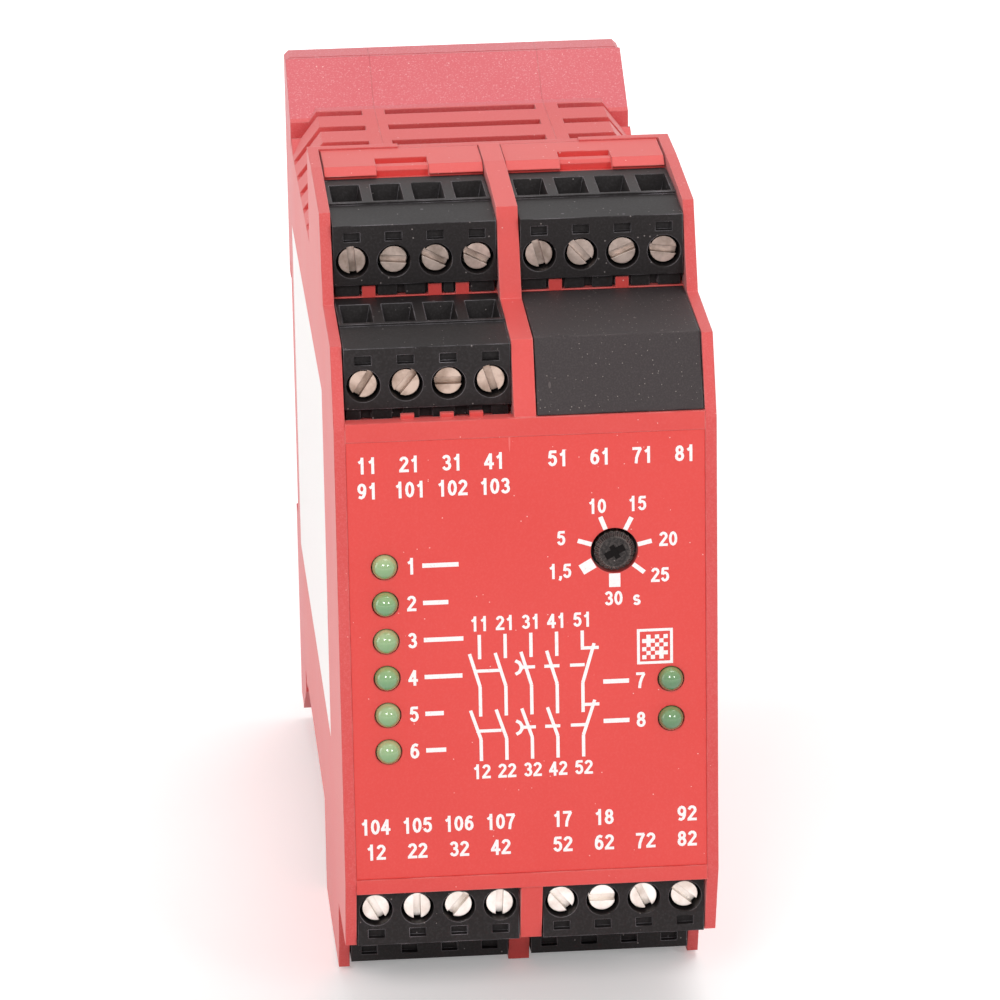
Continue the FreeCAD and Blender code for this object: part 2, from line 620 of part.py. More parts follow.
def plug(bay):
    """Four-pole plug housing with funnels, test windows, screw bores and chambers."""
    housing = body(f"{bay.name}_plug")
    side_view = [("0", "0"), ("plug_brow", "brow_step - plug_rise"),
                 ("plug_brow", "-plug_rise"), ("plug_depth", "-plug_rise"),
                 ("plug_depth", "plug_drop"), ("chin_step", "plug_drop"),
                 ("chin_step", "plug_chin"), ("0", "plug_chin")]
    pad(housing, "x", *bay.width(), [bay.view(side_view)])
    axis = bay.level("screw_drop")
    windows = [rectangle((f"{pole} - window_width / 2",
                          f"{bay.level('window_drop')} - window_height / 2"),
                         (f"{pole} + window_width / 2",
                          f"{bay.level('window_drop')} + window_height / 2"))
               for pole in bay.poles()]
    pocket(housing, "y", bay.face("-touch_gap"), bay.face("window_depth"), windows)
    pocket(housing, "y", bay.face("-touch_gap"), bay.face("bore_depth"),
           [(pole, axis, "bore_radius") for pole in bay.poles()])
    pocket(housing, "y", bay.face("-touch_gap"), bay.face("chamber_start + touch_gap"),
           [(pole, axis, "shank_bore") for pole in bay.poles()])
    pocket(housing, "y", bay.face("chamber_start"), bay.face("plug_depth + touch_gap"),
           [rectangle((f"{pole} - chamber_width / 2", f"{axis} - chamber_half"),
                      (f"{pole} + chamber_width / 2", f"{axis} + chamber_half"))
            for pole in bay.poles()])
    wire_funnels(housing, bay)
    return housing


def wire_funnels(housing, bay):
    """Tapered wire entries from the plug's top down into its clamp chambers."""
    feature = housing.newObject("PartDesign::Pocket", "funnels")
    mouths = [rectangle((f"{pole} - funnel_width / 2", bay.face("funnel_start")),
                        (f"{pole} + funnel_width / 2",
                         bay.face("funnel_start + funnel_length")))
              for pole in bay.poles()]
    feature.Profile = sketch(housing, "XY_Plane", bay.level("-plug_rise"), mouths)
    feature.Reversed = bay.turned
    feature.setExpression("Length", bound("screw_drop + plug_rise - chamber_half + touch_gap"))
    feature.setExpression("TaperAngle", bound("-funnel_taper"))
    doc.recompute()


def screws(bay):
    """The plug's four slotted clamping screws."""
    group = body(f"{bay.name}_screws")
    axis = bay.level("screw_drop")
    pad(group, "y", bay.face("head_sink"), bay.face("head_sink + head_height"),
        [(pole, axis, "head_radius") for pole in bay.poles()])
    pad(group, "y", bay.face("head_sink + head_height - touch_gap"),
        bay.face("head_sink + head_height + shank_length"),
        [(pole, axis, "shank_radius") for pole in bay.poles()])
    cuts = []
    for pole, angle in zip(bay.poles(), bay.slots):
        cos, sin = (round(f(math.radians(angle)), 4) for f in (math.cos, math.sin))
        cuts.append([(f"{pole} + ({a} * head_radius * 1.1 * {cos}) - ({b} * slot_cut / 2 * {sin})",
                      f"{axis} + ({a} * head_radius * 1.1 * {sin}) + ({b} * slot_cut / 2 * {cos})")
                     for a, b in ((-1, -1), (1, -1), (1, 1), (-1, 1))])
    pocket(group, "y", bay.face("head_sink - touch_gap"), bay.face("head_sink + slot_sink"), cuts)
    return group


def clamps(bay):
    """Four cage clamps, each with a wire way, a screw hole and two contact leaves."""
    group = body(f"{bay.name}_clamps")
    axis = bay.level("screw_drop")
    start = bay.face("clamp_start")

    def block(half_width, half_height, shift="0"):
        return [rectangle((f"{pole} + {shift} - {half_width}", f"{axis} - {half_height}"),
                          (f"{pole} + {shift} + {half_width}", f"{axis} + {half_height}"))
                for pole in bay.poles()]

    pad(group, "y", start, f"{start} + clamp_length", block("clamp_width / 2", "clamp_half"))
    way = [rectangle((f"{pole} - wire_way / 2", bay.face("wire_start")),
                     (f"{pole} + wire_way / 2", bay.face("wire_start + wire_way")))
           for pole in bay.poles()]
    pocket(group, "z", f"{axis} - clamp_half - touch_gap", f"{axis} + clamp_half + touch_gap", way)
    pocket(group, "y", f"{start} - touch_gap", bay.face("wire_start + touch_gap"),
           [(pole, axis, "shank_radius") for pole in bay.poles()])
    gap = "pin / 2 + pin_slack + leaf / 2"
    leaves = block("leaf / 2", "leaf_half", f"({gap})") + block("leaf / 2", "leaf_half", f"-({gap})")
    pad(group, "y", f"{start} + clamp_length - touch_gap", f"{start} + clamp_length + leaf_length",
        leaves)
    return group


def header(bay):
    """Base strip on the printed board: moulded block with four pins into the bay."""
    strip = body(f"{bay.name}_header")
    axis = bay.level("screw_drop")
    wall_back = f"{BAY_BACK} + {bay.shift} + tray"
    middle = f"{bay.side} * (rib / 2 + inner_width) / 2"
    half = "2 * pole_pitch - header_margin"
    pad(strip, "y", wall_back, f"{wall_back} + header_depth",
        [rectangle((f"{middle} - ({half})", f"{axis} - header_half"),
                   (f"{middle} + ({half})", f"{axis} + header_half"))])
    pad(strip, "y", f"{wall_back} - pin_reach", f"{wall_back} + touch_gap",
        [square(pole, axis, "pin") for pole in bay.poles()])
    return strip


# ---------------------------------------------------------------- front controls

def cylinder(name, radius, front, back, across, level):
    """A round piece that lies along y."""
    item = doc.addObject("Part::Cylinder", name)
    item.setExpression("Radius", bound(radius))
    item.setExpression("Height", bound(f"({back}) - ({front})"))
    item.Placement.Rotation = FreeCAD.Rotation(FreeCAD.Vector(1, 0, 0), -90)
    for letter, formula in zip("xyz", (across, front, level)):
        item.setExpression("Placement.Base." + letter, bound(formula))
    return item


def status_light(number, across, level):
    """Domed indicator that stands on the display board and shows through the panel."""
    stem = cylinder(f"light_stem_{number}", "light_radius",
                    "light_radius - light_proud", "front_board", across, level)
    dome = doc.addObject("Part::Sphere", f"light_dome_{number}")
    dome.setExpression("Radius", "Sizes.light_radius")
    for letter, formula in zip("xyz", (across, "light_radius - light_proud", level)):
        dome.setExpression("Placement.Base." + letter, bound(formula))
    light = doc.addObject("Part::Fuse", f"status_light_{number}")
    light.Base, light.Tool = stem, dome
    return place(light, f"status_light_{number}")


def fluted(radius, flutes=20):
    """Outline with shallow flutes round the dial's centre."""
    points = []
    for number in range(2 * flutes):
        angle = math.pi * number / flutes
        share = 1.0 if number % 2 else 0.94
        cos, sin = round(share * math.cos(angle), 4), round(share * math.sin(angle), 4)
        points.append((f"dial_x + {cos} * {radius}", f"dial_z + {sin} * {radius}"))
    return points


def time_knob():
    """Fluted dial knob with a screwdriver slot, on the setting shaft."""
    knob = body("time_knob")
    front = "-knob_proud"
    pad(knob, "y", "panel_inset", "knob_depth", [fluted("knob_radius")])
    pad(knob, "y", front, "panel_inset + touch_gap", [("dial_x", "dial_z", "knob_top")])
    pad(knob, "y", "knob_depth - touch_gap", "front_board - shaft_stop",
        [("dial_x", "dial_z", "shaft_radius")])
    cos, sin = round(math.cos(math.radians(30)), 4), round(math.sin(math.radians(30)), 4)
    cut = [(f"dial_x + ({a} * knob_top * {cos}) - ({b} * knob_slot / 2 * {sin})",
            f"dial_z + ({a} * knob_top * {sin}) + ({b} * knob_slot / 2 * {cos})")
           for a, b in ((-1.1, -1), (1.1, -1), (1.1, 1), (-1.1, 1))]
    pocket(knob, "y", f"{front} - touch_gap", f"{front} + knob_slot", [cut])
    return knob


def dial_resistor():
    """Setting resistor on the display board; the knob's shaft turns in it."""
    block = body("time_setting_resistor")
    front = "knob_depth + knob_clear"
    pad(block, "y", front, "front_board", [square("dial_x", "dial_z", "dial_body")])
    pocket(block, "y", f"{front} - touch_gap", "front_board + touch_gap",
           [("dial_x", "dial_z", "shaft_radius + shaft_gap")])
    return block


# ---------------------------------------------------------------- printed boards

def display_board():
    board = body("display_board")
    pad(board, "y", "front_board", "front_board + board",
        [rectangle(("-front_board_half", "front_board_bottom"),
                   ("front_board_half", "front_board_top"))])
    return board


def main_board(label, side):
    """Upright board behind the headers; its stepped front edge meets their backs."""
    board = body(label)
    first = f"{BAY_BACK} + tray + header_depth"
    second = f"{first} + tier_depth"
    axis = "plug_line + tier_rise - screw_drop"
    inner_top = f"{INNER_TOP} - board_edge"
    upper = [(first, "plug_line - screw_drop + header_half"),
             (second, "plug_line - screw_drop + header_half"),
             (second, f"{axis} + header_half"),
             ("front_depth - board_edge", f"{axis} + header_half"),
             ("front_depth - board_edge", inner_top), (CAVITY_BACK, inner_top)]
    pad(board, "x", *beside(side, "board_x", "board_x + board"), [upper + mirrored(upper)])
    return board


def on_board(label, side, front, bottom, length, height, width):
    """A closed block that stands on a main board's inner face."""
    block = body(label)
    pad(block, "x", *beside(side, f"board_x - ({width})", "board_x"),
        [rectangle((front, bottom), (f"{front} + {length}", f"{bottom} + {height}"))])
    return block


def transformer():
    """Laminated core on the left board with its winding bulging at both sides."""
    core = on_board("mains_transformer", -1, "core_front", "core_bottom",
                    "core_length", "core_height", "core_width")
    middle = "core_front + core_length / 2"
    pad(core, "x", *beside(-1, "board_x - core_width + coil_margin", "board_x - coil_margin"),
        [rectangle((f"{middle} - coil_length / 2", "core_bottom - coil_bulge"),
                   (f"{middle} + coil_length / 2", "core_bottom + core_height + coil_bulge"))])
    return core


def capacitor(number):
    """Round can that lies on the left board."""
    can = body(f"smoothing_capacitor_{number}")
    front = f"can_front + {number - 1} * (can_length + can_gap)"
    pad(can, "y", front, f"{front} + can_length", [("can_radius - board_x", "can_level", "can_radius")])
    return can


# ---------------------------------------------------------------- build

left = side_shell("left_shell", -1)
pocket(left, "x", "-width / 2 - touch_gap", "label_sheet - width / 2", [LABEL])
side_shell("right_shell", 1)
centre_shell()
front_frame()
front_panel()
for side, name in ((-1, "left"), (1, "right")):
    hood(f"top_{name}_hood", side, turned=False)
    hood(f"bottom_{name}_hood", side, turned=True)
blank_cover()
side_label()
rail_foot()
latch_spring()
for bay in BAYS:
    plug(bay)
    screws(bay)
    clamps(bay)
    header(bay)
for number, (across, level) in enumerate(light_places(), start=1):
    status_light(number, across, level)
time_knob()
dial_resistor()
display_board()
main_board("left_board", -1)
main_board("right_board", 1)
transformer()
for number in (1, 2):
    on_board(f"safety_contact_relay_{number}", 1, "relay_front",
             f"relay_bottom + {number - 1} * (relay_height + relay_gap)",
             "relay_length", "relay_height", "relay_width")
    capacitor(number)

doc.recompute()
for item in doc.Objects:
    if "Invalid" in item.State or "Error" in item.State:
        raise RuntimeError(f"{item.Label}: {item.State}")
os.makedirs("parts", exist_ok=True)
for item in nodes:
    if item.Shape.isNull() or not item.Shape.isValid():
        raise RuntimeError(f"{item.Label}: no valid solid")
for item in nodes:
    item.Shape.exportStep(f"parts/{item.Label}.step")
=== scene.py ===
"""Finishes, print, lights and camera of a rail-mounted safety relay with a timing dial."""

import math

import bpy
from mathutils import Matrix, Vector


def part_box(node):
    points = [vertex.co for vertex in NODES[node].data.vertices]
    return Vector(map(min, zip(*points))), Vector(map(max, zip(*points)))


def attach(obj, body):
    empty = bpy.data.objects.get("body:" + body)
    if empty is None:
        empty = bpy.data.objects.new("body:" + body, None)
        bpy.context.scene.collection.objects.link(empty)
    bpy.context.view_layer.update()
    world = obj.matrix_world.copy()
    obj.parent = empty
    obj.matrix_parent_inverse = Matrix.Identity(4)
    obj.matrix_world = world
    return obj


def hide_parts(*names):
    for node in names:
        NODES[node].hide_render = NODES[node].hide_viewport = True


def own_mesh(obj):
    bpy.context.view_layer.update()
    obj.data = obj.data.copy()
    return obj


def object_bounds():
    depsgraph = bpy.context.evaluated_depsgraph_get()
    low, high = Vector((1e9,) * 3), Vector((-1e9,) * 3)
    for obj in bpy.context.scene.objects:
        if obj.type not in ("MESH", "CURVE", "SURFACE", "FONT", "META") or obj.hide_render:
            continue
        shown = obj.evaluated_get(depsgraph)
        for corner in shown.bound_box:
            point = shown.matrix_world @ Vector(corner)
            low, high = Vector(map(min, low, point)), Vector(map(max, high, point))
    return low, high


MM = 0.001

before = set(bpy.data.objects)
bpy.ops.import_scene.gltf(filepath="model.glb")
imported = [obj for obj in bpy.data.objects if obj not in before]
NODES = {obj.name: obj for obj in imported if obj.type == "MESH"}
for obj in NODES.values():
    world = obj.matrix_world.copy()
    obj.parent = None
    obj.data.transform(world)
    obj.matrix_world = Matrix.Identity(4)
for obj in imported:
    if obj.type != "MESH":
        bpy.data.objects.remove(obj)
cad_low, cad_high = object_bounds()

scene = bpy.context.scene
scene.view_settings.view_transform = "Standard"

PANEL_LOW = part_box("front_panel")[0]
INK_DEPTH = 0.02 * MM
INK_FACE = PANEL_LOW.y - INK_DEPTH
PRINT_FOOT = PANEL_LOW.z


# ---- camera, floor and lights ------------------------------------------------

EYE = Vector((-0.05213, -0.68924, 0.27893))
EYE_RIGHT = Vector((0.99647, -0.08244, -0.01589)).normalized()
EYE_UP = Vector((0.04096, 0.31212, 0.94916)).normalized()
LENS_MM = 204.94
SENSOR_MM = 36.0
CLIP_NEAR = 0.01
CLIP_FAR = 30.0
# name, place, side of the square that shines, power
LAMPS = (("left_softbox", (-0.45, -1.45, 0.95), 0.42, 7.9),
         ("right_softbox", (0.72, -1.25, 0.72), 0.34, 4.1),
         ("overhead_softbox", (0.25, 0.15, 1.5), 0.9, 8.4),
         ("left_fill", (-1.5, 0.1, 0.45), 0.9, 5.0))


def add_camera():
    """A long lens in front of the relay and a little above it."""
    back = EYE_RIGHT.cross(EYE_UP).normalized()
    up = back.cross(EYE_RIGHT)
    turn = Matrix((EYE_RIGHT, up, back)).transposed().to_4x4()
    bpy.ops.object.camera_add()
    camera = bpy.context.object
    camera.name = "front_camera"
    camera.data.lens = LENS_MM
    camera.data.sensor_width = SENSOR_MM
    camera.data.clip_start = CLIP_NEAR
    camera.data.clip_end = CLIP_FAR
    camera.matrix_world = Matrix.Translation(EYE) @ turn
    scene.camera = camera


def add_lamp(name, place, target, size, power):
    """A soft square lamp turned towards a point."""
    bpy.ops.object.light_add(type="AREA", location=place)
    lamp = bpy.context.object
    lamp.name = name
    lamp.data.shape = "RECTANGLE"
    lamp.data.size = size
    lamp.data.size_y = size
    lamp.data.energy = power
    lamp.rotation_euler = (Vector(target) - Vector(place)).to_track_quat("-Z", "Y").to_euler()


def add_lights():
    middle = (cad_low + cad_high) / 2
    for name, place, size, power in LAMPS:
        add_lamp(name, place, middle, size, power)


def deselect():
    bpy.ops.object.select_all(action="DESELECT")


def select_only(items):
    """Selects these objects alone, the first of them active."""
    deselect()
    for item in items:
        item.select_set(True)
    bpy.context.view_layer.objects.active = items[0]


def merged(parts):
    """Joins parts into the first of them."""
    select_only(parts)
    if len(parts) > 1:
        bpy.ops.object.join()
    return bpy.context.view_layer.objects.active


# ---- shader building blocks --------------------------------------------------

class Network:
    """A node tree filled by short calls."""

    def __init__(self, tree):
        self.tree = tree

    def node(self, kind, inputs=None, **settings):
        item = self.tree.nodes.new("ShaderNode" + kind)
        for key, setting in settings.items():
            setattr(item, key, setting)
        self.feed(item, inputs or {})
        return item

    def feed(self, item, inputs):
        for key, source in inputs.items():
            if isinstance(source, bpy.types.NodeSocket):
                self.tree.links.new(source, item.inputs[key])
            else:
                item.inputs[key].default_value = source

    def math(self, operation, first, second=0.0, clamp=False):
        item = self.node("Math", {0: first, 1: second}, operation=operation, use_clamp=clamp)
        return item.outputs[0]

    def remap(self, source, low, high, to_low=0.0, to_high=1.0):
        item = self.node("MapRange", {"Value": source, "From Min": low, "From Max": high,
                                      "To Min": to_low, "To Max": to_high})
        return item.outputs["Result"]

    def blend(self, amount, first, second):
        item = self.node("MixRGB", {"Fac": amount, "Color1": first, "Color2": second})
        return item.outputs["Color"]

    def group(self, tree, inputs=None):
        item = self.tree.nodes.new("ShaderNodeGroup")
        item.node_tree = tree
        self.feed(item, inputs or {})
        return item

    def noise(self, place, scale, detail=2.0, roughness=0.5):
        item = self.node("TexNoise", {"Vector": place, "Scale": scale, "Detail": detail,
                                      "Roughness": roughness})
        return item.outputs["Fac"]


def new_group(name, takes, gives):
    """An empty node group with named sockets, and its network, entry and exit nodes."""
    tree = bpy.data.node_groups.new(name, "ShaderNodeTree")
    for label, start in takes:
        socket = tree.interface.new_socket(name=label, in_out="INPUT",
                                           socket_type="NodeSocketFloat")
        socket.default_value = start
    for label, kind in gives:
        tree.interface.new_socket(name=label, in_out="OUTPUT", socket_type="NodeSocket" + kind)
    entry = tree.nodes.new("NodeGroupInput")
    leave = tree.nodes.new("NodeGroupOutput")
    return tree, Network(tree), entry, leave


BEVEL_SAMPLES = 6
CORNER_FACING = (0.995, 0.86)
EDGE_LINE_BREAK = (0.35, 0.68)


def build_edge_group():
    """Rounded edge normal, and a broken line along the edges that stands for rubbing and for a
    painted edge highlight.
    """
    tree, net, entry, leave = new_group(
        "worn_and_highlit_edges", [("Radius", 0.2 * MM), ("Break Scale", 300.0)],
        [("Normal", "Vector"), ("Rub_and_highlight", "Float")])
    rounded = net.node("Bevel", {"Radius": entry.outputs["Radius"]}, samples=BEVEL_SAMPLES)
    flat = net.node("NewGeometry")
    facing = net.node("VectorMath", {0: rounded.outputs["Normal"], 1: flat.outputs["Normal"]},
                      operation="DOT_PRODUCT")
    corner = net.remap(facing.outputs["Value"], *CORNER_FACING)
    place = net.node("TexCoord").outputs["Object"]
    broken = net.remap(net.noise(place, entry.outputs["Break Scale"], 3.0), *EDGE_LINE_BREAK)
    net.feed(leave, {"Normal": rounded.outputs["Normal"],
                     "Rub_and_highlight": net.math("MULTIPLY", corner, broken, clamp=True)})
    return tree


MOTTLE_RANGE = (0.3, 0.7)


def build_grain_group():
    """Fine grain of a spark-eroded mould, and slow unevenness over it."""
    tree, net, entry, leave = new_group(
        "moulded_grain", [("Scale", 3500.0), ("Patch Scale", 60.0)],
        [("Height", "Float"), ("Mottle", "Float")])
    place = net.node("TexCoord").outputs["Object"]
    fine = net.noise(place, entry.outputs["Scale"], 2.0, 0.6)
    slow = net.noise(place, entry.outputs["Patch Scale"], 3.0, 0.55)
    net.feed(leave, {"Height": fine, "Mottle": net.remap(slow, *MOTTLE_RANGE)})
    return tree


SPECK_REACH = (0.05, 0.13)
# turn and stretch of the cells that each direction of scratches is drawn in
SCRATCH_RUNS = (((0.3, 0.5, 0.2), (60.0, 1500.0, 1500.0)),
                ((0.9, 0.2, 1.1), (1500.0, 1500.0, 80.0)))
SCRATCH_SCALE = 0.33
SCRATCH_WIDTH = 0.1


def build_marks_group():
    """Settled dust specks, and short hair-fine scratches in two directions."""
    tree, net, entry, leave = new_group(
        "dust_and_scratches", [("Speck Scale", 900.0), ("Speck Share", 0.3),
                               ("Scratch Share", 0.3)],
        [("Dust", "Float"), ("Scratch", "Float")])
    place = net.node("TexCoord").outputs["Object"]
    cells = net.node("TexVoronoi", {"Vector": place, "Scale": entry.outputs["Speck Scale"],
                                    "Randomness": 1.0})
    chance = net.node("SeparateColor", {"Color": cells.outputs["Color"]})
    kept = net.math("LESS_THAN", chance.outputs["Red"], entry.outputs["Speck Share"])
    reach = net.remap(chance.outputs["Green"], 0.0, 1.0, *SPECK_REACH)
    inside = net.math("LESS_THAN", cells.outputs["Distance"], reach)
    net.feed(leave, {"Dust": net.math("MULTIPLY", kept, inside)})
    strokes = []
    for turn, stretch in SCRATCH_RUNS:
        turned = net.node("Mapping", {"Vector": place, "Rotation": turn, "Scale": stretch})
        streak = net.node("TexVoronoi", {"Vector": turned.outputs["Vector"],
                                         "Scale": SCRATCH_SCALE})
        tone = net.node("SeparateColor", {"Color": streak.outputs["Color"]})
        chosen = net.math("LESS_THAN", tone.outputs["Blue"], entry.outputs["Scratch Share"])
        thin = net.math("LESS_THAN", streak.outputs["Distance"], SCRATCH_WIDTH)
        strokes.append(net.math("MULTIPLY", chosen, thin))
    net.feed(leave, {"Scratch": net.math("MAXIMUM", *strokes)})
    return tree


EDGES = build_edge_group()
GRAIN = build_grain_group()
MARKS = build_marks_group()


def srgb(red, green, blue):
    """A colour as it looks, turned to the linear values that the shader takes."""
    linear = [c / 12.92 if c <= 0.04045 else ((c + 0.055) / 1.055) ** 2.4
              for c in (red / 255, green / 255, blue / 255)]
    return (*linear, 1.0)


def new_material(name):
    material = bpy.data.materials.new(name)
    material.use_nodes = True
    net = Network(material.node_tree)
    return material, net, material.node_tree.nodes["Principled BSDF"]


REAR_BLOCK_FRONT = 43.2 * MM
REAR_BLOCK_FOOT = 86.5 * MM
# the rear of the sides and the rear block take painted glare, paler and cooler than the red
REAR_SIDE = (34.0 * MM, 49.0 * MM)
REAR_SIDE_GLARE_SHARE = 0.45
REAR_GLINT_COLOUR = srgb(246, 200, 204)
GLINT_SCALE = 4200.0
GLINT_RANGE = (0.54, 0.7)
GLINT_SHARE = 0.34


def blasted_rear(net, tone, rear_glare_tone):
    """Painted glare makes the rear block and the rear of the sides paler and cooler; painted
    glints add fine bright specks on its blasted grain.
    """
    where = net.node("TexCoord").outputs["Object"]
    place = net.node("SeparateXYZ", {"Vector": where})
    above = net.math("GREATER_THAN", place.outputs["Z"], REAR_BLOCK_FOOT)
    above = net.math("MULTIPLY", above,
                     net.math("GREATER_THAN", place.outputs["Y"], REAR_BLOCK_FRONT))
    beside = net.remap(place.outputs["Y"], *REAR_SIDE, 0.0, REAR_SIDE_GLARE_SHARE)
    glare_mask = net.math("MAXIMUM", above, beside)
    tone = net.blend(glare_mask, tone, rear_glare_tone)
    # painted glints: fine bright specks of light where the blasted grain sparkles
    glint = net.remap(net.noise(where, GLINT_SCALE, 2.0, 0.7), *GLINT_RANGE)
    glint = net.math("MULTIPLY", glint, glare_mask)
    return net.blend(net.math("MULTIPLY", glint, GLINT_SHARE), tone, REAR_GLINT_COLOUR)


SPECKLE_RANGE = (0.45, 0.7)
SCRAPE_SHARE = 0.35
DUST_SHARE = 0.75
GRAIN_ROUGHENS = 0.08
SHEEN_ROUGHNESS = 0.4


def moulded(name, colour, light_colour, roughness, edge_radius=0.22 * MM, grain_scale=3500.0,
            grain_depth=0.012 * MM, dust=0.25, scratches=0.2, dust_colour=(0.8, 0.72, 0.7, 1.0),
            rub_and_highlight_colour=None, edge_rub_and_highlight=0.5, mottle=0.35, specular=0.5, patch_scale=60.0,
            speck_scale=1300.0, speckle=0.12, sheen=0.0, rear_glare_tone=None):
    """A moulded plastic with grain, slow unevenness, dust, scratches, and edges lightened by
    rubbing and by a painted edge highlight.
    """
    material, net, shader = new_material(name)
    edges = net.group(EDGES, {"Radius": edge_radius})
    grain = net.group(GRAIN, {"Scale": grain_scale, "Patch Scale": patch_scale})
    marks = net.group(MARKS, {"Speck Scale": speck_scale, "Speck Share": dust,
                              "Scratch Share": scratches})
    uneven = net.math("MULTIPLY", grain.outputs["Mottle"], mottle)
    tone = net.blend(uneven, colour, light_colour)
    fine = net.math("MULTIPLY", net.remap(grain.outputs["Height"], *SPECKLE_RANGE), speckle)
    tone = net.blend(fine, tone, rub_and_highlight_colour or light_colour)
    # painted glare on the rear of the shells
    if rear_glare_tone:
        tone = blasted_rear(net, tone, rear_glare_tone)
    # edges lightened partly by rubbing, partly as a painted highlight
    rubbed_and_highlit = net.math("MULTIPLY", edges.outputs["Rub_and_highlight"], edge_rub_and_highlight)
    tone = net.blend(rubbed_and_highlit, tone, rub_and_highlight_colour or light_colour)
    scraped = net.math("MULTIPLY", marks.outputs["Scratch"], SCRAPE_SHARE)
    tone = net.blend(scraped, tone, rub_and_highlight_colour or light_colour)
    settled = net.math("MULTIPLY", marks.outputs["Dust"], DUST_SHARE)
    tone = net.blend(settled, tone, dust_colour)
    rough = net.math("MULTIPLY_ADD", grain.outputs["Mottle"], GRAIN_ROUGHENS)
    rough.node.inputs[2].default_value = roughness
    bump = net.node("Bump", {"Height": grain.outputs["Height"], "Distance": grain_depth,
                             "Strength": 1.0, "Normal": edges.outputs["Normal"]})
    net.feed(shader, {"Base Color": tone, "Roughness": rough, "Normal": bump.outputs["Normal"],
                      "Specular IOR Level": specular, "Sheen Weight": sheen,
                      "Sheen Roughness": SHEEN_ROUGHNESS})
    return material


METAL_WEAR_SCALE = 900.0
STAIN_SCALE = 420.0
STAIN_RANGE = (0.38, 0.68)
STAIN_ROUGHENS = 0.18
BARE_EDGE = (0.95, 0.93, 0.9, 1.0)


def metal(name, colour, dull_colour, roughness, edge_radius=0.1 * MM, brush=(900.0, 9000.0, 900.0),
          depth=0.006 * MM, edge_rub_and_highlight=0.4, metallic=1.0):
    """A plated or bare metal with fine turning lines and duller stains."""
    material, net, shader = new_material(name)
    edges = net.group(EDGES, {"Radius": edge_radius, "Break Scale": METAL_WEAR_SCALE})
    place = net.node("TexCoord").outputs["Object"]
    turned = net.node("Mapping", {"Vector": place, "Scale": brush})
    lines = net.noise(turned.outputs["Vector"], 1.0, 3.0)
    stain = net.remap(net.noise(place, STAIN_SCALE, 4.0, 0.6), *STAIN_RANGE)
    tone = net.blend(stain, colour, dull_colour)
    bright = net.math("MULTIPLY", edges.outputs["Rub_and_highlight"], edge_rub_and_highlight)
    tone = net.blend(bright, tone, BARE_EDGE)
    rough = net.math("MULTIPLY_ADD", stain, STAIN_ROUGHENS)
    rough.node.inputs[2].default_value = roughness
    bump = net.node("Bump", {"Height": lines, "Distance": depth, "Strength": 1.0,
                             "Normal": edges.outputs["Normal"]})
    net.feed(shader, {"Base Color": tone, "Roughness": rough, "Normal": bump.outputs["Normal"],
                      "Metallic": metallic})
    return material


LENS_CURVE = 2.2
SWIRL_SCALE = 900.0
SWIRL_RANGE = (0.2, 0.8)
SWIRL_TONES = (0.75, 1.0)
LENS_ROUGHNESS = 0.08
LENS_COAT_ROUGHNESS = 0.05
RIPPLE_DEPTH = 0.004 * MM


def green_lens(name, deep, painted_lit_top, foot, top):
    """A glossy clear-green light, made paler towards its upper edge by painted light."""
    material, net, shader = new_material(name)
    place = net.node("SeparateXYZ", {"Vector": net.node("TexCoord").outputs["Object"]})
    rise = net.remap(place.outputs["Z"], foot, top)
    painted_light_curve = net.math("POWER", rise, LENS_CURVE)
    swirl = net.noise(net.node("TexCoord").outputs["Object"], SWIRL_SCALE, 2.0)
    amount = net.math("MULTIPLY", painted_light_curve, net.remap(swirl, *SWIRL_RANGE, *SWIRL_TONES))
    tone = net.blend(amount, deep, painted_lit_top)
    ripple = net.node("Bump", {"Height": swirl, "Distance": RIPPLE_DEPTH, "Strength": 1.0})
    net.feed(shader, {"Base Color": tone, "Roughness": LENS_ROUGHNESS, "Coat Weight": 1.0,
                      "Coat Roughness": LENS_COAT_ROUGHNESS, "Normal": ripple.outputs["Normal"]})
    return material


INK_THIN = srgb(246, 205, 202)
INK_FULL = srgb(253, 250, 249)
INK_ROUGHNESS = 0.45
PINHOLE_SCALE = 2600.0
PINHOLE_RANGE = (0.2, 0.42)
INK_RELIEF_SCALE = 6000.0
INK_RELIEF = 0.003 * MM


def white_ink(name):
    """Screen-printed ink: slightly uneven cover with pinholes."""
    material, net, shader = new_material(name)
    place = net.node("TexCoord").outputs["Object"]
    cover = net.remap(net.noise(place, PINHOLE_SCALE, 3.0, 0.6), *PINHOLE_RANGE)
    tone = net.blend(cover, INK_THIN, INK_FULL)
    relief = net.node("Bump", {"Height": net.noise(place, INK_RELIEF_SCALE),
                               "Distance": INK_RELIEF, "Strength": 1.0})
    net.feed(shader, {"Base Color": tone, "Roughness": INK_ROUGHNESS,
                      "Normal": relief.outputs["Normal"]})
    return material


def shown_directly(net):
    """One for what the eye meets first, also in gloss and through glass, and nought for light."""
    seen = net.node("LightPath")
    either = net.math("MAXIMUM", seen.outputs["Is Camera Ray"], seen.outputs["Is Glossy Ray"])
    return net.math("MAXIMUM", either, seen.outputs["Is Transmission Ray"])


WHITE = (1.0, 1.0, 1.0, 1.0)
PAPER_TONES = ((0.95, 0.92, 0.915, 1.0), (0.97, 0.94, 0.935, 1.0))
PAPER_SCALE = 40.0
PAPER_ROUGHNESS = 0.9
# the paper's own light grows from the foot of the relay outwards, so a painted shade lies round
# the foot
PAPER_SHADE_REACH = (0.22, 0.8)
PAPER_LIFT = (0.28, 1.0)


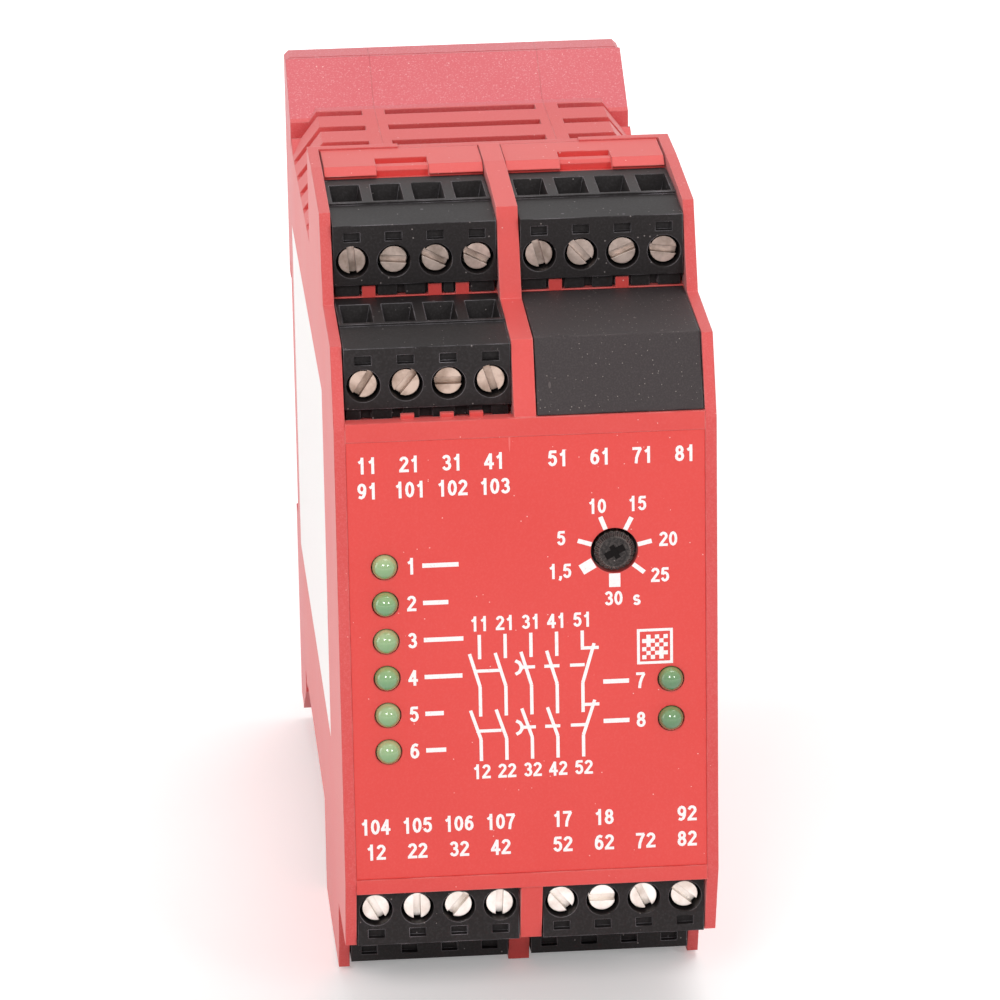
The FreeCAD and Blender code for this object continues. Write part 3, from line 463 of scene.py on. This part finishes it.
def floor_paper(name):
    """Pale studio paper that stays white to the eye away from the relay, with painted shade round
    its foot, and keeps the shadows.
    """
    material, net, shader = new_material(name)
    place = net.node("TexCoord").outputs["Object"]
    tone = net.blend(net.noise(place, PAPER_SCALE, 2.0), *PAPER_TONES)
    either = shown_directly(net)
    away = net.node("VectorMath", {0: place}, operation="LENGTH").outputs["Value"]
    lift = net.math("MULTIPLY", either, net.remap(away, *PAPER_SHADE_REACH, *PAPER_LIFT))
    net.feed(shader, {"Base Color": tone, "Roughness": PAPER_ROUGHNESS, "Specular IOR Level": 0.0,
                      "Emission Color": WHITE, "Emission Strength": lift})
    return material


SURROUND_LEVEL = 0.41


def set_world():
    """A white surround that lights the relay more gently than it shows."""
    world = bpy.data.worlds.new("studio_surround")
    scene.world = world
    world.use_nodes = True
    net = Network(world.node_tree)
    backdrop = world.node_tree.nodes["Background"]
    either = shown_directly(net)
    net.feed(backdrop, {"Color": WHITE,
                        "Strength": net.remap(either, 0.0, 1.0, SURROUND_LEVEL, 1.0)})


RED_DEEP = srgb(220, 68, 63)
RED_LIGHT = srgb(231, 91, 86)
RED_RUB_AND_HIGHLIGHT = srgb(246, 150, 145)
SHELL_DEEP = srgb(214, 72, 70)
SHELL_LIGHT = srgb(226, 94, 93)
RED_DUST = srgb(250, 205, 200)

red_housing = moulded("red_housing_plastic", RED_DEEP, RED_LIGHT, 0.42, rub_and_highlight_colour=RED_RUB_AND_HIGHLIGHT,
                      dust_colour=RED_DUST, dust=0.2, scratches=0.06, sheen=0.2,
                      grain_depth=0.005 * MM, speckle=0.05, edge_rub_and_highlight=0.75)
# the shells' rear carries painted glare in a paler, cooler red
red_shell = moulded("red_shell_plastic", SHELL_DEEP, SHELL_LIGHT, 0.5,
                    rub_and_highlight_colour=srgb(244, 158, 154), dust_colour=RED_DUST,
                    dust=0.16, scratches=0.05, sheen=0.2, grain_scale=5200.0,
                    grain_depth=0.01 * MM, speckle=0.16, rear_glare_tone=srgb(214, 95, 102))
red_panel = moulded("red_panel_plastic", srgb(226, 66, 60), srgb(234, 84, 78), 0.36,
                    rub_and_highlight_colour=RED_RUB_AND_HIGHLIGHT, dust_colour=RED_DUST, dust=0.12,
                    scratches=0.05, grain_depth=0.006 * MM, patch_scale=35.0, speckle=0.05)
black_plastic = moulded("black_plug_plastic", srgb(30, 26, 26), srgb(40, 36, 36), 0.48,
                        rub_and_highlight_colour=srgb(150, 145, 150), edge_rub_and_highlight=1.0, dust=0.35, scratches=0.12,
                        dust_colour=srgb(150, 142, 140), edge_radius=0.17 * MM, specular=0.22,
                        grain_depth=0.005 * MM, speckle=0.04)
cover_plastic = moulded("dark_cover_plastic", srgb(50, 43, 44), srgb(62, 54, 55), 0.55,
                        rub_and_highlight_colour=srgb(120, 110, 108), dust=0.9, scratches=0.25,
                        dust_colour=srgb(165, 155, 148), grain_scale=5200.0,
                        grain_depth=0.008 * MM, edge_radius=0.35 * MM, specular=0.3,
                        speckle=0.1, speck_scale=2000.0)
# painted shade: a near-black finish for the flat cross that stands for the knob's recess
recess_painted_shade = moulded("painted_recess_shade", srgb(17, 14, 14), srgb(24, 20, 20), 0.6,
                       specular=0.1, dust=0.05, scratches=0.02)
knob_plastic = moulded("dial_knob_plastic", srgb(30, 25, 25), srgb(42, 36, 35), 0.42,
                       specular=0.3,
                       rub_and_highlight_colour=srgb(170, 158, 152), edge_rub_and_highlight=1.0, dust=0.3, scratches=0.1,
                       dust_colour=srgb(160, 150, 146), edge_radius=0.13 * MM)
label_film = moulded("white_label_film", srgb(250, 248, 247), srgb(253, 252, 251), 0.4,
                     dust_colour=srgb(225, 215, 212), dust=0.1, scratches=0.02,
                     rub_and_highlight_colour=srgb(240, 232, 230), edge_radius=0.05 * MM)
header_plastic = moulded("green_header_plastic", srgb(52, 50, 50), srgb(66, 64, 62), 0.5)
board_laminate = moulded("board_laminate", srgb(28, 92, 54), srgb(44, 116, 70), 0.35,
                         rub_and_highlight_colour=srgb(180, 190, 120), dust_colour=srgb(190, 180, 110),
                         speck_scale=500.0, dust=0.5)
relay_plastic = moulded("contact_relay_case", srgb(226, 224, 216), srgb(236, 234, 228), 0.4)
sleeve_film = moulded("capacitor_sleeve", srgb(30, 34, 60), srgb(44, 48, 78), 0.3)
# one nickel plating in three copies with painted light: bright for the lower row's reflection,
# shade for the upper rear row
nickel_painted_bright = metal("nickel_screws_painted_bright", srgb(252, 246, 240), srgb(226, 214, 204), 0.3)
nickel_painted_middle = metal("nickel_screws_painted_middle", srgb(192, 171, 158), srgb(150, 129, 116), 0.32)
nickel_painted_shade = metal("nickel_screws_painted_shade", srgb(196, 178, 168), srgb(146, 130, 120), 0.34)
tinned = metal("tinned_clamp_steel", srgb(196, 190, 180), srgb(150, 142, 132), 0.38)
spring_steel = metal("spring_steel", srgb(170, 166, 162), srgb(120, 114, 110), 0.32)
core_steel = metal("core_steel", srgb(120, 116, 112), srgb(92, 86, 80), 0.5,
                   brush=(4000.0, 200.0, 200.0))
ink = white_ink("white_print_ink")


# ---- finishes of the frame's own parts ---------------------------------------

def finish(node, material):
    """Gives one of the frame's parts a finish; its mesh stays as it is."""
    item = NODES[node]
    item.data.materials.clear()
    item.data.materials.append(material)


BY_ENDING = (("_plug", black_plastic), ("_clamps", tinned),
             ("_header", header_plastic), ("_hood", red_housing), ("_board", board_laminate),
             ("_shell", red_shell))
SINGLE = {"front_frame": red_housing, "front_panel": red_panel, "blank_cover": cover_plastic,
          "side_label": label_film, "rail_foot_latch": red_housing,
          "latch_spring": spring_steel, "time_knob": knob_plastic,
          "time_setting_resistor": header_plastic, "mains_transformer": core_steel,
          "safety_contact_relay_1": relay_plastic, "safety_contact_relay_2": relay_plastic,
          "smoothing_capacitor_1": sleeve_film, "smoothing_capacitor_2": sleeve_film}


# each pair: a light's own green, and the paler green of painted light at its top
LIGHT_GREEN = (srgb(112, 160, 104), srgb(196, 218, 160))
MIDDLE_GREEN = (srgb(92, 148, 98), srgb(172, 206, 136))
DARK_GREEN = (srgb(68, 122, 80), srgb(140, 180, 116))
LENS_TONES = (LIGHT_GREEN, MIDDLE_GREEN, LIGHT_GREEN, MIDDLE_GREEN, LIGHT_GREEN, LIGHT_GREEN,
              DARK_GREEN, DARK_GREEN)


def screw_plating(node):
    """One nickel in lit and shaded copies: the upper rear screws get painted shade and are the
    dullest, the lower ones a painted reflection and the brightest.
    """
    if node.startswith("bottom"):
        return nickel_painted_bright
    return nickel_painted_shade if "rear" in node else nickel_painted_middle


def dress_frame():
    """A finish for every part of the frame, by the ending of its name or by itself."""
    for node in sorted(NODES):
        for ending, material in BY_ENDING:
            if node.endswith(ending):
                finish(node, material)
        if node in SINGLE:
            finish(node, SINGLE[node])
        if node.endswith("_screws"):
            finish(node, screw_plating(node))
        if node.startswith("status_light"):
            low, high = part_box(node)
            deep, painted_lit_top = LENS_TONES[int(node[-1]) - 1]
            finish(node, green_lens(node + "_lens", deep, painted_lit_top, low.z, high.z))


# ---- combs under the upper plugs ---------------------------------------------

# start and end of each tooth, from the left edge of the plug
COMB_TEETH = {
    "top_rear_left": ((0.2, 3.1), (5.3, 7.6), (8.6, 11.0), (13.2, 14.4), (16.5, 19.3)),
    "top_rear_right": ((0.2, 3.1), (5.3, 7.7), (8.6, 11.1), (13.3, 15.6), (16.6, 19.3)),
    "top_front_left": ((0.2, 1.9), (3.2, 5.6), (6.9, 8.8), (10.4, 13.0), (14.6, 16.2),
                       (17.4, 19.3)),
}
COMB_FOOT = 1.3 * MM
COMB_SEAT = 0.1 * MM
COMB_BACK = 2.25 * MM
COMB_WEB = 1.45 * MM
COMB_FRONT = 0.75 * MM
COMB_MARGIN = 0.2 * MM
COMB_LAP = 0.1 * MM
COMB_ROUND = 0.08 * MM


def add_block(low, high):
    """A squared bar between two corners."""
    deselect()
    bpy.ops.mesh.primitive_cube_add(size=1.0, location=(low + high) / 2)
    item = bpy.context.object
    item.scale = high - low
    bpy.ops.object.transform_apply(location=True, rotation=True, scale=True)
    return item


def add_comb(bay, teeth):
    """The toothed foot that closes the step under one plug and leaves room for the tabs."""
    low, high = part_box(bay + "_plug")
    foot, seat = low.z - COMB_FOOT, low.z + COMB_SEAT
    parts = [add_block(Vector((low.x + COMB_MARGIN, low.y + COMB_WEB, foot)),
                       Vector((high.x - COMB_MARGIN, low.y + COMB_BACK, seat)))]
    for start, end in teeth:
        parts.append(add_block(
            Vector((low.x + start * MM, low.y + COMB_FRONT, foot)),
            Vector((low.x + end * MM, low.y + COMB_WEB + COMB_LAP, seat + COMB_LAP))))
    comb = merged(parts)
    comb.name = bay + "_comb"
    softened = comb.modifiers.new("softened", "BEVEL")
    softened.width = COMB_ROUND
    softened.segments = 2
    bpy.ops.object.modifier_apply(modifier=softened.name)
    comb.data.materials.append(black_plastic)
    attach(comb, bay + "_terminal")


# ---- the dial knob's grip and the painted shade of its recess ----------------

GRIP_SIDES = 52
GRIP_FOOT = 2.3 * MM
GRIP_TOP = 1.8 * MM
GRIP_RISE = 0.7 * MM
GRIP_RIDGE = 0.13 * MM
GRIP_LAP = 0.01 * MM
# length, width and turn in degrees of the two bars of the cross
RECESS_BARS = ((2.5, 0.85, 27), (1.75, 0.62, 117))
RECESS_DEPTH = 0.03 * MM


def add_knob_grip():
    """The ridged cone between the knob's rim and its flat top."""
    low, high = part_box("time_knob")
    deselect()
    middle = Vector(((low.x + high.x) / 2, low.y + GRIP_RISE / 2 - GRIP_LAP,
                     (low.z + high.z) / 2))
    bpy.ops.mesh.primitive_cone_add(vertices=GRIP_SIDES, radius1=GRIP_FOOT, radius2=GRIP_TOP,
                                    depth=GRIP_RISE, location=middle,
                                    rotation=(math.pi / 2, 0, 0))
    grip = bpy.context.object
    grip.name = "knob_grip"
    bpy.ops.object.transform_apply(location=True, rotation=True, scale=True)
    bpy.ops.object.mode_set(mode="EDIT")
    bpy.ops.mesh.select_mode(type="FACE")
    bpy.ops.object.mode_set(mode="OBJECT")
    for face in grip.data.polygons:
        aim = math.atan2(face.center.z - middle.z, face.center.x - middle.x)
        side = int((aim / (2 * math.pi)) % 1.0 * GRIP_SIDES)
        face.select = len(face.vertices) == 4 and side % 2 == 0
    bpy.ops.object.mode_set(mode="EDIT")
    bpy.ops.mesh.extrude_faces_move(TRANSFORM_OT_shrink_fatten={"value": GRIP_RIDGE})
    bpy.ops.object.mode_set(mode="OBJECT")
    grip.data.materials.append(knob_plastic)
    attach(grip, "dial")
    return low.y, middle


def add_knob_recess(front, middle):
    """A flat dark cross of painted shade over the recess that takes the screwdriver."""
    bars = []
    for length, width, turn in RECESS_BARS:
        reach = length * MM / 2
        aim = math.radians(turn)
        across, rise = reach * math.cos(aim), reach * math.sin(aim)
        bars.append(stroke((middle.x - across, middle.z - rise),
                           (middle.x + across, middle.z + rise), width * MM))
    recess = flat_piece("knob_recess_shade", bars, recess_painted_shade)
    recess.data.transform(Matrix.Translation((0, front - RECESS_DEPTH - INK_FACE, 0)))
    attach(recess, "dial")


# ---- the foot latch's spring, as a merged copy on the housing ----------------

MERGE_REACH = 0.001 * MM


def add_spring_coil():
    """A merged copy of the spring, attached to the housing in place of the frame's own."""
    node = NODES["latch_spring"]
    coil = bpy.data.objects.new("latch_spring_coil", node.data.copy())
    scene.collection.objects.link(coil)
    select_only([coil])
    bpy.ops.object.mode_set(mode="EDIT")
    bpy.ops.mesh.select_all(action="SELECT")
    bpy.ops.mesh.remove_doubles(threshold=MERGE_REACH)
    bpy.ops.object.mode_set(mode="OBJECT")
    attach(coil, "housing")
    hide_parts("latch_spring")
    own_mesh(coil)


# ---- print on the panel ------------------------------------------------------

def flat_piece(name, parts, material):
    """Joins strokes into one named piece and leaves the object at the origin."""
    piece = merged(parts)
    piece.name = name
    piece.data.name = name
    bpy.ops.object.transform_apply(location=True, rotation=True, scale=True)
    piece.data.materials.clear()
    piece.data.materials.append(material)
    return piece


def printed(name, parts):
    """A piece of print on the housing."""
    piece = flat_piece(name, parts, ink)
    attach(piece, "housing")


STROKE_LIFT = 0.018 * MM
LIFT_STEP = 0.618
STROKE_PAST = 0.18
SWEEP_STEP = 30
strokes_drawn = 0


def stroke(start, end, width):
    """A printed straight line between two points of the panel, given as (across, level)."""
    global strokes_drawn
    strokes_drawn += 1
    lift = STROKE_LIFT * (strokes_drawn * LIFT_STEP % 1.0)
    deselect()
    run = Vector((end[0] - start[0], 0, end[1] - start[1]))
    middle = ((start[0] + end[0]) / 2, INK_FACE - lift, (start[1] + end[1]) / 2)
    turn = (math.pi / 2, -math.atan2(run.z, run.x), 0)
    bpy.ops.mesh.primitive_plane_add(size=1.0, location=middle, rotation=turn)
    item = bpy.context.object
    item.scale = (run.length, width, 1.0)
    bpy.ops.object.transform_apply(location=True, rotation=True, scale=True)
    bpy.ops.object.mode_set(mode="EDIT")
    bpy.ops.mesh.extrude_region_move(TRANSFORM_OT_translate={"value": (0, INK_DEPTH, 0)})
    bpy.ops.mesh.select_all(action="SELECT")
    bpy.ops.mesh.normals_make_consistent(inside=False)
    bpy.ops.object.mode_set(mode="OBJECT")
    return item


def sweep(centre, reach, start, end):
    """Points along part of an ellipse, in degrees counted from its right-hand end."""
    steps = max(2, round(abs(end - start) / SWEEP_STEP))
    aims = [math.radians(start + (end - start) * step / steps) for step in range(steps + 1)]
    return [(centre[0] + reach[0] * math.cos(aim), centre[1] + reach[1] * math.sin(aim))
            for aim in aims]


# the runs of each sign, on a grid of one millimetre with its middle at nought
SIX = [sweep((0, -0.31), (0.36, 0.49), 0, 360), sweep((0.1, -0.1), (0.46, 0.9), 62, 185)]
FIGURES = {
    "0": [sweep((0, 0), (0.37, 0.8), 0, 360)],
    "1": [[(-0.27, 0.4), (0.0, 0.56), (0.1, 0.8)], [(0.1, 0.97), (0.1, -0.97)]],
    "2": [sweep((0, 0.4), (0.37, 0.4), 165, -30) + [(-0.37, -0.72)], [(-0.5, -0.8), (0.5, -0.8)]],
    "3": [sweep((-0.02, 0.41), (0.34, 0.39), 155, -90),
          sweep((0, -0.38), (0.38, 0.42), 90, -155)],
    "4": [[(0.18, -0.97), (0.18, 0.85)], [(0.18, 0.85), (-0.42, -0.33)],
          [(-0.52, -0.38), (0.5, -0.38)]],
    "5": [[(0.42, 0.8), (-0.24, 0.8), (-0.32, 0.08)],
          sweep((0, -0.28), (0.38, 0.52), 132, -155)],
    "6": SIX,
    "7": [[(-0.5, 0.8), (0.4, 0.8)], [(0.38, 0.76), (0.1, 0.2), (-0.08, -0.35), (-0.14, -0.97)]],
    "8": [sweep((0, 0.42), (0.31, 0.38), 0, 360), sweep((0, -0.38), (0.37, 0.42), 0, 360)],
    "9": [[(-across, -level) for across, level in run] for run in SIX],
    ",": [[(0.1, -0.72), (0.1, -0.95), (0.0, -1.2)]],
    "s": [sweep((0, 0.02), (0.3, 0.29), 30, 270), sweep((0, -0.53), (0.33, 0.27), 90, -150)],
}
FIGURE_STROKE = 0.34 * MM
FIGURE_STEP = 1.24 * MM
NARROW = {",": 0.62 * MM}
masters = {}


def joint_run(points, width):
    """Short strokes along a run of points, each reaching a little past its ends."""
    parts = []
    for start, end in zip(points, points[1:]):
        run = Vector(end) - Vector(start)
        past = run.normalized() * width * STROKE_PAST
        parts.append(stroke(Vector(start) - past, Vector(end) + past, width))
    return parts


def figure_master(sign):
    """The one modelled copy of a printed figure, centred on the panel's own axis."""
    if sign not in masters:
        parts = []
        for run in FIGURES[sign]:
            points = [(across * MM, level * MM) for across, level in run]
            parts.extend(joint_run(points, FIGURE_STROKE))
        masters[sign] = merged(parts)
    return masters[sign]


def figure(text, across, level, size=1.0):
    """One printed number, centred on a point of the panel; gives its separate figures."""
    steps = [NARROW.get(sign, FIGURE_STEP) * size for sign in text]
    start = across - sum(steps) / 2
    copies = []
    for sign, step in zip(text, steps):
        select_only([figure_master(sign)])
        bpy.ops.object.duplicate(linked=False)
        copy = bpy.context.object
        copy.location = (start + step / 2, 0, level)
        copy.scale = (size, 1.0, size)
        copies.append(copy)
        start += step
    return copies


POLES = 4


def pole_places(screws):
    """Across places of a plug's four poles, from the outer screws' edges."""
    low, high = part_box(screws)
    head = high.z - low.z
    first = low.x + head / 2
    step = (high.x - low.x - head) / (POLES - 1)
    return [first + step * pole for pole in range(POLES)]


LEFT_POLES = pole_places("top_rear_left_screws")
RIGHT_POLES = pole_places("top_rear_right_screws")
# name, level above the panel's foot, places across, and numbers of each printed line
NUMBER_LINES = (("upper_terminal_numbers", 52.13, LEFT_POLES + RIGHT_POLES,
                 ("11", "21", "31", "41", "51", "61", "71", "81")),
                ("second_terminal_numbers", 49.0, LEFT_POLES, ("91", "101", "102", "103")),
                ("third_terminal_numbers", 6.75, LEFT_POLES + RIGHT_POLES,
                 ("104", "105", "106", "107", "17", "18", "", "92")),
                ("lower_terminal_numbers", 3.5, LEFT_POLES + RIGHT_POLES,
                 ("12", "22", "32", "42", "52", "62", "72", "82")))


def print_terminal_numbers():
    """Rows of plain running numbers over and under the panel's middle."""
    for name, rise, places, texts in NUMBER_LINES:
        parts = []
        for text, across in zip(texts, places):
            parts.extend(figure(text, across, PRINT_FOOT + rise * MM))
        printed(name, parts)


def light_centre(number):
    """Across and level of a status light's middle."""
    low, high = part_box(f"status_light_{number}")
    return (low.x + high.x) / 2, (low.z + high.z) / 2


# number of the light and length of its bar
LEFT_BARS = ((1, 4.3), (2, 3.0), (3, 4.7), (4, 4.5), (5, 2.2), (6, 2.4))
BAR_WEIGHT = 0.55 * MM
BAR_GAP = 1.35
RIGHT_LIGHTS = (7, 8)
LEFT_NUMBER = 3.1 * MM
RIGHT_NUMBER = 3.6 * MM
RIGHT_BAR = (8.1 * MM, 5.0 * MM)


def print_light_marks():
    """A channel number and a plain bar beside each status light."""
    parts = []
    for number, length in LEFT_BARS:
        across, level = light_centre(number)
        start = across + LEFT_NUMBER
        parts.extend(figure(str(number), start, level))
        parts.append(stroke((start + BAR_GAP * MM, level),
                            (start + (BAR_GAP + length) * MM, level), BAR_WEIGHT))
    for number in RIGHT_LIGHTS:
        across, level = light_centre(number)
        parts.extend(figure(str(number), across - RIGHT_NUMBER, level))
        far, near = RIGHT_BAR
        parts.append(stroke((across - far, level), (across - near, level), BAR_WEIGHT))
    printed("status_light_marks", parts)


SMALL_FIGURE = 0.92
MARK_NEAR = 2.85 * MM
MARK_FAR = 4.55 * MM
# turn from the top in degrees, and weight
DIAL_MARKS = ((-120, 1.35), (-72, 0.55), (-21, 0.55), (27, 0.55), (77, 0.55), (129, 0.55),
              (180, 1.35))
# text, and its place right of and above the dial's middle
DIAL_NUMBERS = (("1,5", -6.5, -2.3), ("5", -6.3, 1.8), ("10", -2.0, 5.6), ("15", 2.75, 5.75),
                ("20", 6.4, 1.2), ("25", 5.4, -3.25), ("30", -0.15, -5.95), ("s", 2.6, -6.05))


def print_dial():
    """The marks round the dial, and its numbers in seconds."""
    low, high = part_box("time_knob")
    across, level = (low.x + high.x) / 2, (low.z + high.z) / 2
    marks = []
    for angle, width in DIAL_MARKS:
        aim = math.radians(angle)
        side, rise = math.sin(aim), math.cos(aim)
        marks.append(stroke((across + MARK_NEAR * side, level + MARK_NEAR * rise),
                            (across + MARK_FAR * side, level + MARK_FAR * rise),
                            width * MM))
    printed("dial_marks", marks)
    numbers = []
    for text, right, up in DIAL_NUMBERS:
        numbers.extend(figure(text, across + right * MM, level + up * MM, SMALL_FIGURE))
    printed("dial_numbers", numbers)


CONTACT_PITCH = 3.06
CONTACT_FIRST = -5.87
CONTACT_POLES = 5
LINE = 0.4 * MM
NUMBER_ROWS = ((11, 31.95), (12, 13.25))
# top of the lead, top of the blade, its knee and its foot, for each of the two rows
BLADES = ((30.55, 28.2, 24.0, 20.25), (20.25, 21.05, 17.35, 14.6))
OPEN_LEAN, OPEN_LEAD = -1.2, 27.5
CLOSED_LEAN, CLOSED_LEAD, CLOSED_RISE = 1.4, 28.3, 0.7
STEP_DROP, STEP_NEAR, STEP_FAR = 0.55, 0.2 * MM, 1.95 * MM
LINK_LEVELS = (26.0, 18.4)
LINK_NEAR, LINK_FAR = 0.55 * MM, 0.6 * MM
DASH_RISE = 0.25
DASHES = ((2, -1.2, 0.45), (3, -1.5, 0.3), (4, -1.5, 0.25))
BOW_BACK = 2.05
BOW_REACH = 0.85 * MM
BOW_ENDS = (-75, 75)


def contact_lines():
    """The straight lines of the diagram, as (across, millimetres above the panel's foot)."""
    lines = []
    for place in range(CONTACT_POLES):
        across = (CONTACT_FIRST + CONTACT_PITCH * place) * MM
        opens = place < CONTACT_POLES - 1
        lean, lead_foot = (OPEN_LEAN, OPEN_LEAD) if opens else (CLOSED_LEAN, CLOSED_LEAD)
        for row, (lead_top, blade_top, knee, foot) in enumerate(BLADES):
            if not opens:
                blade_top = blade_top + CLOSED_RISE
            if row == 0:
                lines.append(((across, lead_top), (across, lead_foot)))
            lines.append(((across + lean * MM, blade_top), (across, knee)))
            lines.append(((across, knee), (across, foot)))
            if not opens:
                step = blade_top - STEP_DROP
                lines.append(((across - STEP_NEAR, step), (across + STEP_FAR, step)))
                if row == 1:
                    lines.append(((across, lead_top), (across, step)))
    for level in LINK_LEVELS:
        first = CONTACT_FIRST * MM
        pitch = CONTACT_PITCH * MM
        lines.append(((first - LINK_NEAR, level), (first + pitch - LINK_FAR, level)))
        for number, near, far in DASHES:
            middle = first + pitch * number
            lines.append(((middle + near * MM, level + DASH_RISE),
                          (middle + far * MM, level + DASH_RISE)))
    return lines


def print_contacts():
    """Two stacked rows of five switch contacts with their link lines."""
    rows = [[], []]
    for place in range(CONTACT_POLES):
        across = (CONTACT_FIRST + CONTACT_PITCH * place) * MM
        for row, (first, rise) in zip(rows, NUMBER_ROWS):
            row.extend(figure(str(10 * place + first), across, PRINT_FOOT + rise * MM,
                              SMALL_FIGURE))
    parts = [stroke((start[0], PRINT_FOOT + start[1] * MM), (end[0], PRINT_FOOT + end[1] * MM),
                    LINE) for start, end in contact_lines()]
    for level in LINK_LEVELS:
        middle = (CONTACT_FIRST + CONTACT_PITCH * 2 - BOW_BACK) * MM
        bow = sweep((middle, PRINT_FOOT + (level + DASH_RISE) * MM), (BOW_REACH, BOW_REACH),
                    *BOW_ENDS)
        parts.extend(joint_run(bow, LINE))
    printed("contact_diagram", parts)
    printed("contact_numbers", rows[0] + rows[1])


CODE_SIDES = (13.05 * MM, 17.0 * MM)
CODE_LEVELS = (26.15 * MM, 30.25 * MM)
CODE_RIM = 0.34 * MM
CODE_MARGIN = 1.3 * CODE_RIM
CODE_CELLS = 6
CODE_EXTRA = (1, 4)


def print_code_field():
    """A framed square with a plain chequer of small blocks."""
    left, right = CODE_SIDES
    foot, top = (PRINT_FOOT + level for level in CODE_LEVELS)
    rim = CODE_RIM
    parts = [stroke((left, foot), (right, foot), rim), stroke((left, top), (right, top), rim),
             stroke((left, foot - rim / 2), (left, top + rim / 2), rim),
             stroke((right, foot - rim / 2), (right, top + rim / 2), rim)]
    block = (right - left - 2 * CODE_MARGIN) / CODE_CELLS
    for column in range(CODE_CELLS):
        for row in range(CODE_CELLS):
            if (column + row) % 2 == 0 or (column in CODE_EXTRA and row in CODE_EXTRA):
                across = left + CODE_MARGIN + block * (column + 0.5)
                level = foot + CODE_MARGIN + block * (row + 0.5)
                parts.append(stroke((across - block / 2, level), (across + block / 2, level),
                                    block))
    printed("code_field", parts)


# ---- studio floor ------------------------------------------------------------

FLOOR_SIZE = 12.0


def add_floor():
    """Plain pale paper under the standing relay."""
    deselect()
    bpy.ops.mesh.primitive_plane_add(size=FLOOR_SIZE, location=(0, 0, cad_low.z))
    floor = bpy.context.object
    floor.name = "studio_floor"
    bpy.ops.object.transform_apply(location=True, rotation=True, scale=True)
    floor.data.materials.append(floor_paper("floor_paper"))


add_camera()
add_lights()
set_world()
add_floor()
dress_frame()
print_terminal_numbers()
print_light_marks()
print_dial()
print_contacts()
print_code_field()
for bay, teeth in COMB_TEETH.items():
    add_comb(bay, teeth)
add_knob_recess(*add_knob_grip())
add_spring_coil()
for master in masters.values():
    bpy.data.objects.remove(master)
